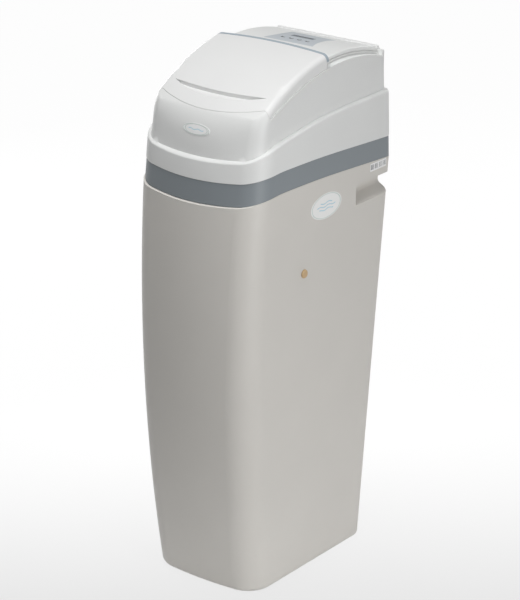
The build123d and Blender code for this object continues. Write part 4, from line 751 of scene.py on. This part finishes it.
class SOFTENER_OT_display(Operator):
    """Finishes the display window, with plain grey blocks for its digits, and the board under it"""

    bl_idname = "softener.display"
    bl_label = "Display"

    def execute(self, context):
        glass_half = (22.0 * MM, 4.5 * MM)
        digit_pitch, digit_width = 5.5 * MM, 4.4 * MM
        digit_share, haze_share = 0.25, 0.1
        finish = Finish("display_window", paint("window"), roughness=0.09,
                        Coat_Weight=0.6, Coat_Roughness=0.10)
        x, y, _ = finish.axes()
        middle, _ = span("display_window")
        glass = x.near(middle.x, glass_half[0]) * y.near(middle.y, glass_half[1])
        haze = finish.noise(20.0 * MM)
        digits = x.wrapped(digit_pitch) < digit_width
        lit = finish.blend(digits * digit_share + haze * haze_share, paint("glass"), paint("digits"))
        finish.give("Base Color", finish.blend(glass, paint("window"), lit))
        finish.vary_roughness((haze, 0.08))
        dress(finish, "display_window")
        dress(printed_board("board_lacquer", paint("board"), paint("tin")), "control_board")
        return {"FINISHED"}


class SOFTENER_OT_front_badge(Operator):
    """Finishes the front badge with a ring and one wavy line"""

    bl_idname = "softener.front_badge"
    bl_label = "Front badge"

    def execute(self, context):
        ring_inside, ring_outside = 0.78, 0.84
        line_half, line_reach = 1.0 * MM, 0.55
        print_share = 0.45
        finish = film("badge_film", paint("badge"), roughness=0.16)
        finish.give("Coat Weight", 1.0)
        x, _, z = finish.axes()
        middle, half = span("front_badge")
        ring = oval(x, z, (middle.x, middle.z), (half.x, half.z)).between(ring_inside, ring_outside)
        wave = ripple(x, middle.x, length=20.0 * MM, height=1.0 * MM)
        line = (z - wave).near(middle.z, line_half) * x.near(middle.x, line_reach * half.x)
        ground = finish.blend(line * print_share, finish.ground, paint("tint"))
        finish.give("Base Color", finish.blend(ring * print_share, ground, paint("ring")))
        dress(finish, "front_badge")
        return {"FINISHED"}


class SOFTENER_OT_side_label(Operator):
    """Finishes the side label with a border and three wavy lines"""

    bl_idname = "softener.side_label"
    bl_label = "Side label"

    def execute(self, context):
        border_inside, border_outside = 0.90, 0.945
        border_share, line_share = 0.55, 0.6
        line_half = 1.0 * MM
        line_rises_reaches = ((7.0 * MM, 20.0 * MM), (0.0, 31.0 * MM), (-7.0 * MM, 24.0 * MM))
        finish = film("label_film", paint("label"), roughness=0.22)
        _, y, z = finish.axes()
        middle, half = span("side_label")
        border = oval(y, z, (middle.y, middle.z), (half.y, half.z)).between(border_inside, border_outside)
        wave = ripple(y, middle.y, length=30.0 * MM, height=1.4 * MM)
        lines = 0.0
        for rise, reach in line_rises_reaches:
            line = (z - wave).near(middle.z + rise, line_half) * y.near(middle.y, reach)
            lines = line.most(lines)
        ground = finish.blend(lines * line_share, finish.ground, paint("tint"))
        finish.give("Base Color", finish.blend(border * border_share, ground, paint("ring")))
        dress(finish, "side_label")
        return {"FINISHED"}


class SOFTENER_OT_rear_label(Operator):
    """Finishes the rear label with four groups of plain bars"""

    bl_idname = "softener.rear_label"
    bl_label = "Rear label"

    def execute(self, context):
        bar_width = 1.1 * MM
        group, group_start, group_end = 0.25, 0.03, 0.22
        foot, head = 3.5 * MM, 2.5 * MM
        bar_share = 0.9
        finish = film("bar_film", paint("mark"), roughness=0.30)
        _, y, z = finish.axes()
        low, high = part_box("rear_label")
        share = (y - low.y) / (high.y - low.y)
        lanes = finish.noise(bar_width, detail=0.0, roughness=0.0, stretch=(0.0, 1.0, 0.0))
        groups = share.wrapped(group).between(group_start, group_end)
        bars = (lanes > 0.5) * groups * z.between(low.z + foot, high.z - head)
        finish.give("Base Color", finish.blend(bars * bar_share, finish.ground, paint("bars")))
        dress(finish, "rear_label")
        return {"FINISHED"}


class SOFTENER_OT_fittings(Operator):
    """Finishes the vessel, the valve, the bypass, the brine parts and the drive"""

    bl_idname = "softener.fittings"
    bl_label = "Fittings"

    def execute(self, context):
        middle, half = span("resin_tank")
        dress(wound("vessel_winding", paint("laminate"), middle.y, half.x), "resin_tank")
        dress(beaded("resin_beads", paint("resin"), context.scene.softener_sizes.bead), "resin_bed")
        dress(rubbery("seal_rubber", paint("rubber")), "neck_seal", "port_seals")
        dress(milky("brine_tube_plastic", paint("tube")), "brine_tube", "pickup_tube")
        for name, colour, roughness, grain, depth, tone, names in FITTING_MOULDINGS:
            dress(moulded(name, paint(colour), roughness, grain, depth, tone), *names)
        for name, colour, roughness, along, names in FITTING_METALS:
            dress(turned(name, paint(colour), roughness, along), *names)
        return {"FINISHED"}


class SOFTENER_OT_soft_shells(Operator):
    """Stands a copy of the cover and of the lid, shaded across their soft folds, for the CAD nodes"""

    bl_idname = "softener.soft_shells"
    bl_label = "Soft shells"

    def execute(self, context):
        for name, node, body, slot, fold in SHELLS:
            shell = bpy.data.objects.new(name, nodes[node].data.copy())
            context.scene.collection.objects.link(shell)
            bpy.ops.object.select_all(action="DESELECT")
            shell.select_set(True)
            context.view_layer.objects.active = shell
            bpy.ops.mesh.customdata_custom_splitnormals_clear()
            edit((bpy.ops.mesh.remove_doubles, {"threshold": SHELL_MERGE}))
            shell.data.name = name
            bpy.ops.object.shade_smooth_by_angle(angle=math.radians(fold))
            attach(shell, body)
            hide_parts(node)
        return {"FINISHED"}


class SOFTENER_OT_port_threads(Operator):
    """Cuts the visible threads of the two water ports"""

    bl_idname = "softener.port_threads"
    bl_label = "Port threads"

    def execute(self, context):
        plain_length, plain_end = 6.0 * MM, 2.0 * MM
        ridge_share, ridge_corners, turn_steps = 0.38, 4, 40
        pitch = context.scene.softener_sizes.pitch
        finish = moulded("thread_moulding", paint("black"), roughness=0.38, grain=0.8, depth=0.02, tone=0.25)
        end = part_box("bypass_body")[1].y
        ports = [row for row in frame["record"]["mounts"] if row["name"] in ("inlet_port", "outlet_port")]
        for port in ports:
            radius = port["dims"]["r_mm"] * MM
            turns = int((port["dims"]["length_mm"] * MM - plain_length) / pitch)
            bpy.ops.object.select_all(action="DESELECT")
            bpy.ops.mesh.primitive_circle_add(vertices=ridge_corners, radius=ridge_share * pitch,
                                              fill_type="NOTHING", location=(radius, 0.0, 0.0),
                                              rotation=(QUARTER_TURN, 0.0, 0.0))
            ridge = context.object
            bpy.ops.object.transform_apply(location=True, rotation=True, scale=True)
            apply_modifier(ridge, "SCREW", axis="Z", angle=FULL_TURN, screw_offset=pitch, iterations=turns,
                           steps=turn_steps, render_steps=turn_steps, use_merge_vertices=True)
            edit((bpy.ops.mesh.remove_doubles, {"threshold": THREAD_MERGE}),
                 (bpy.ops.mesh.fill_holes, {"sides": ridge_corners}),
                 (bpy.ops.mesh.normals_make_consistent, {"inside": False}))
            ridge.rotation_euler = (QUARTER_TURN, 0.0, 0.0)
            ridge.location = (port["pos_m"][0], end - plain_end, port["pos_m"][2])
            settle(ridge, port["name"] + "_thread", "housing", finish)
        return {"FINISHED"}


class SOFTENER_OT_badge_rim(Operator):
    """Lays the thin raised rim on the front badge"""

    bl_idname = "softener.badge_rim"
    bl_label = "Badge rim"

    def execute(self, context):
        inset, thickness, stand_off = 1.2 * MM, 0.7 * MM, 20.0 * MM
        rim_corners = 96
        width = context.scene.softener_sizes.rim
        low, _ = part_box("front_badge")
        middle, half = span("front_badge")
        wide, tall = half.x - inset, half.z - inset
        bpy.ops.object.select_all(action="DESELECT")
        bpy.ops.mesh.primitive_circle_add(vertices=rim_corners, radius=1.0, fill_type="NOTHING",
                                          rotation=(QUARTER_TURN, 0.0, 0.0))
        rim = context.object
        bpy.ops.object.transform_apply(location=True, rotation=True, scale=True)
        shrink = ((wide - width) / wide, 1.0, (tall - width) / tall)
        edit((bpy.ops.transform.resize, {"value": (wide, 1.0, tall)}),
             (bpy.ops.mesh.extrude_edges_move, {}),
             (bpy.ops.transform.resize, {"value": shrink}))
        rim.location = (middle.x, low.y - stand_off, middle.z)
        bpy.ops.object.transform_apply(location=True, rotation=False, scale=False)
        apply_modifier(rim, "SHRINKWRAP", target=nodes["front_badge"], wrap_method="PROJECT",
                       use_project_y=True, use_positive_direction=True, use_negative_direction=False)
        apply_modifier(rim, "SOLIDIFY", thickness=thickness, offset=0.0)
        edit((bpy.ops.mesh.normals_make_consistent, {"inside": False}))
        finish = moulded("rim_moulding", paint("rim"), roughness=0.25, grain=0.5, depth=0.004)
        settle(rim, "badge_rim", "housing", finish)
        return {"FINISHED"}


class SOFTENER_PT_panel(Panel):
    """Lists the steps and the settings in the sidebar."""

    bl_idname = "SOFTENER_PT_panel"
    bl_label = "Cabinet water softener"
    bl_space_type = "VIEW_3D"
    bl_region_type = "UI"
    bl_category = "Softener"

    def draw(self, context):
        for step in STEPS:
            self.layout.operator(step.bl_idname)
        for name, group in GROUPS.items():
            for key in group.__annotations__:
                self.layout.prop(getattr(context.scene, name), key)


GROUPS = {
    "softener_colours": SoftenerColours,
    "softener_sizes": SoftenerSizes,
    "softener_studio": SoftenerStudio,
}
STEPS = (
    SOFTENER_OT_camera,
    SOFTENER_OT_stage,
    SOFTENER_OT_mouldings,
    SOFTENER_OT_panel_film,
    SOFTENER_OT_keys,
    SOFTENER_OT_display,
    SOFTENER_OT_front_badge,
    SOFTENER_OT_side_label,
    SOFTENER_OT_rear_label,
    SOFTENER_OT_fittings,
    SOFTENER_OT_soft_shells,
    SOFTENER_OT_port_threads,
    SOFTENER_OT_badge_rim,
)


def register():
    for group in GROUPS.values():
        bpy.utils.register_class(group)
    for step in STEPS:
        bpy.utils.register_class(step)
    bpy.utils.register_class(SOFTENER_PT_panel)
    for key, group in GROUPS.items():
        setattr(bpy.types.Scene, key, PointerProperty(type=group))


def unregister():
    for key in GROUPS:
        delattr(bpy.types.Scene, key)
    bpy.utils.unregister_class(SOFTENER_PT_panel)
    for step in reversed(STEPS):
        bpy.utils.unregister_class(step)
    for group in reversed(GROUPS.values()):
        bpy.utils.unregister_class(group)


def main():
    register()
    for step in STEPS:
        family, action = step.bl_idname.split(".")
        getattr(getattr(bpy.ops, family), action)()


if __name__ == "__main__":
    main()
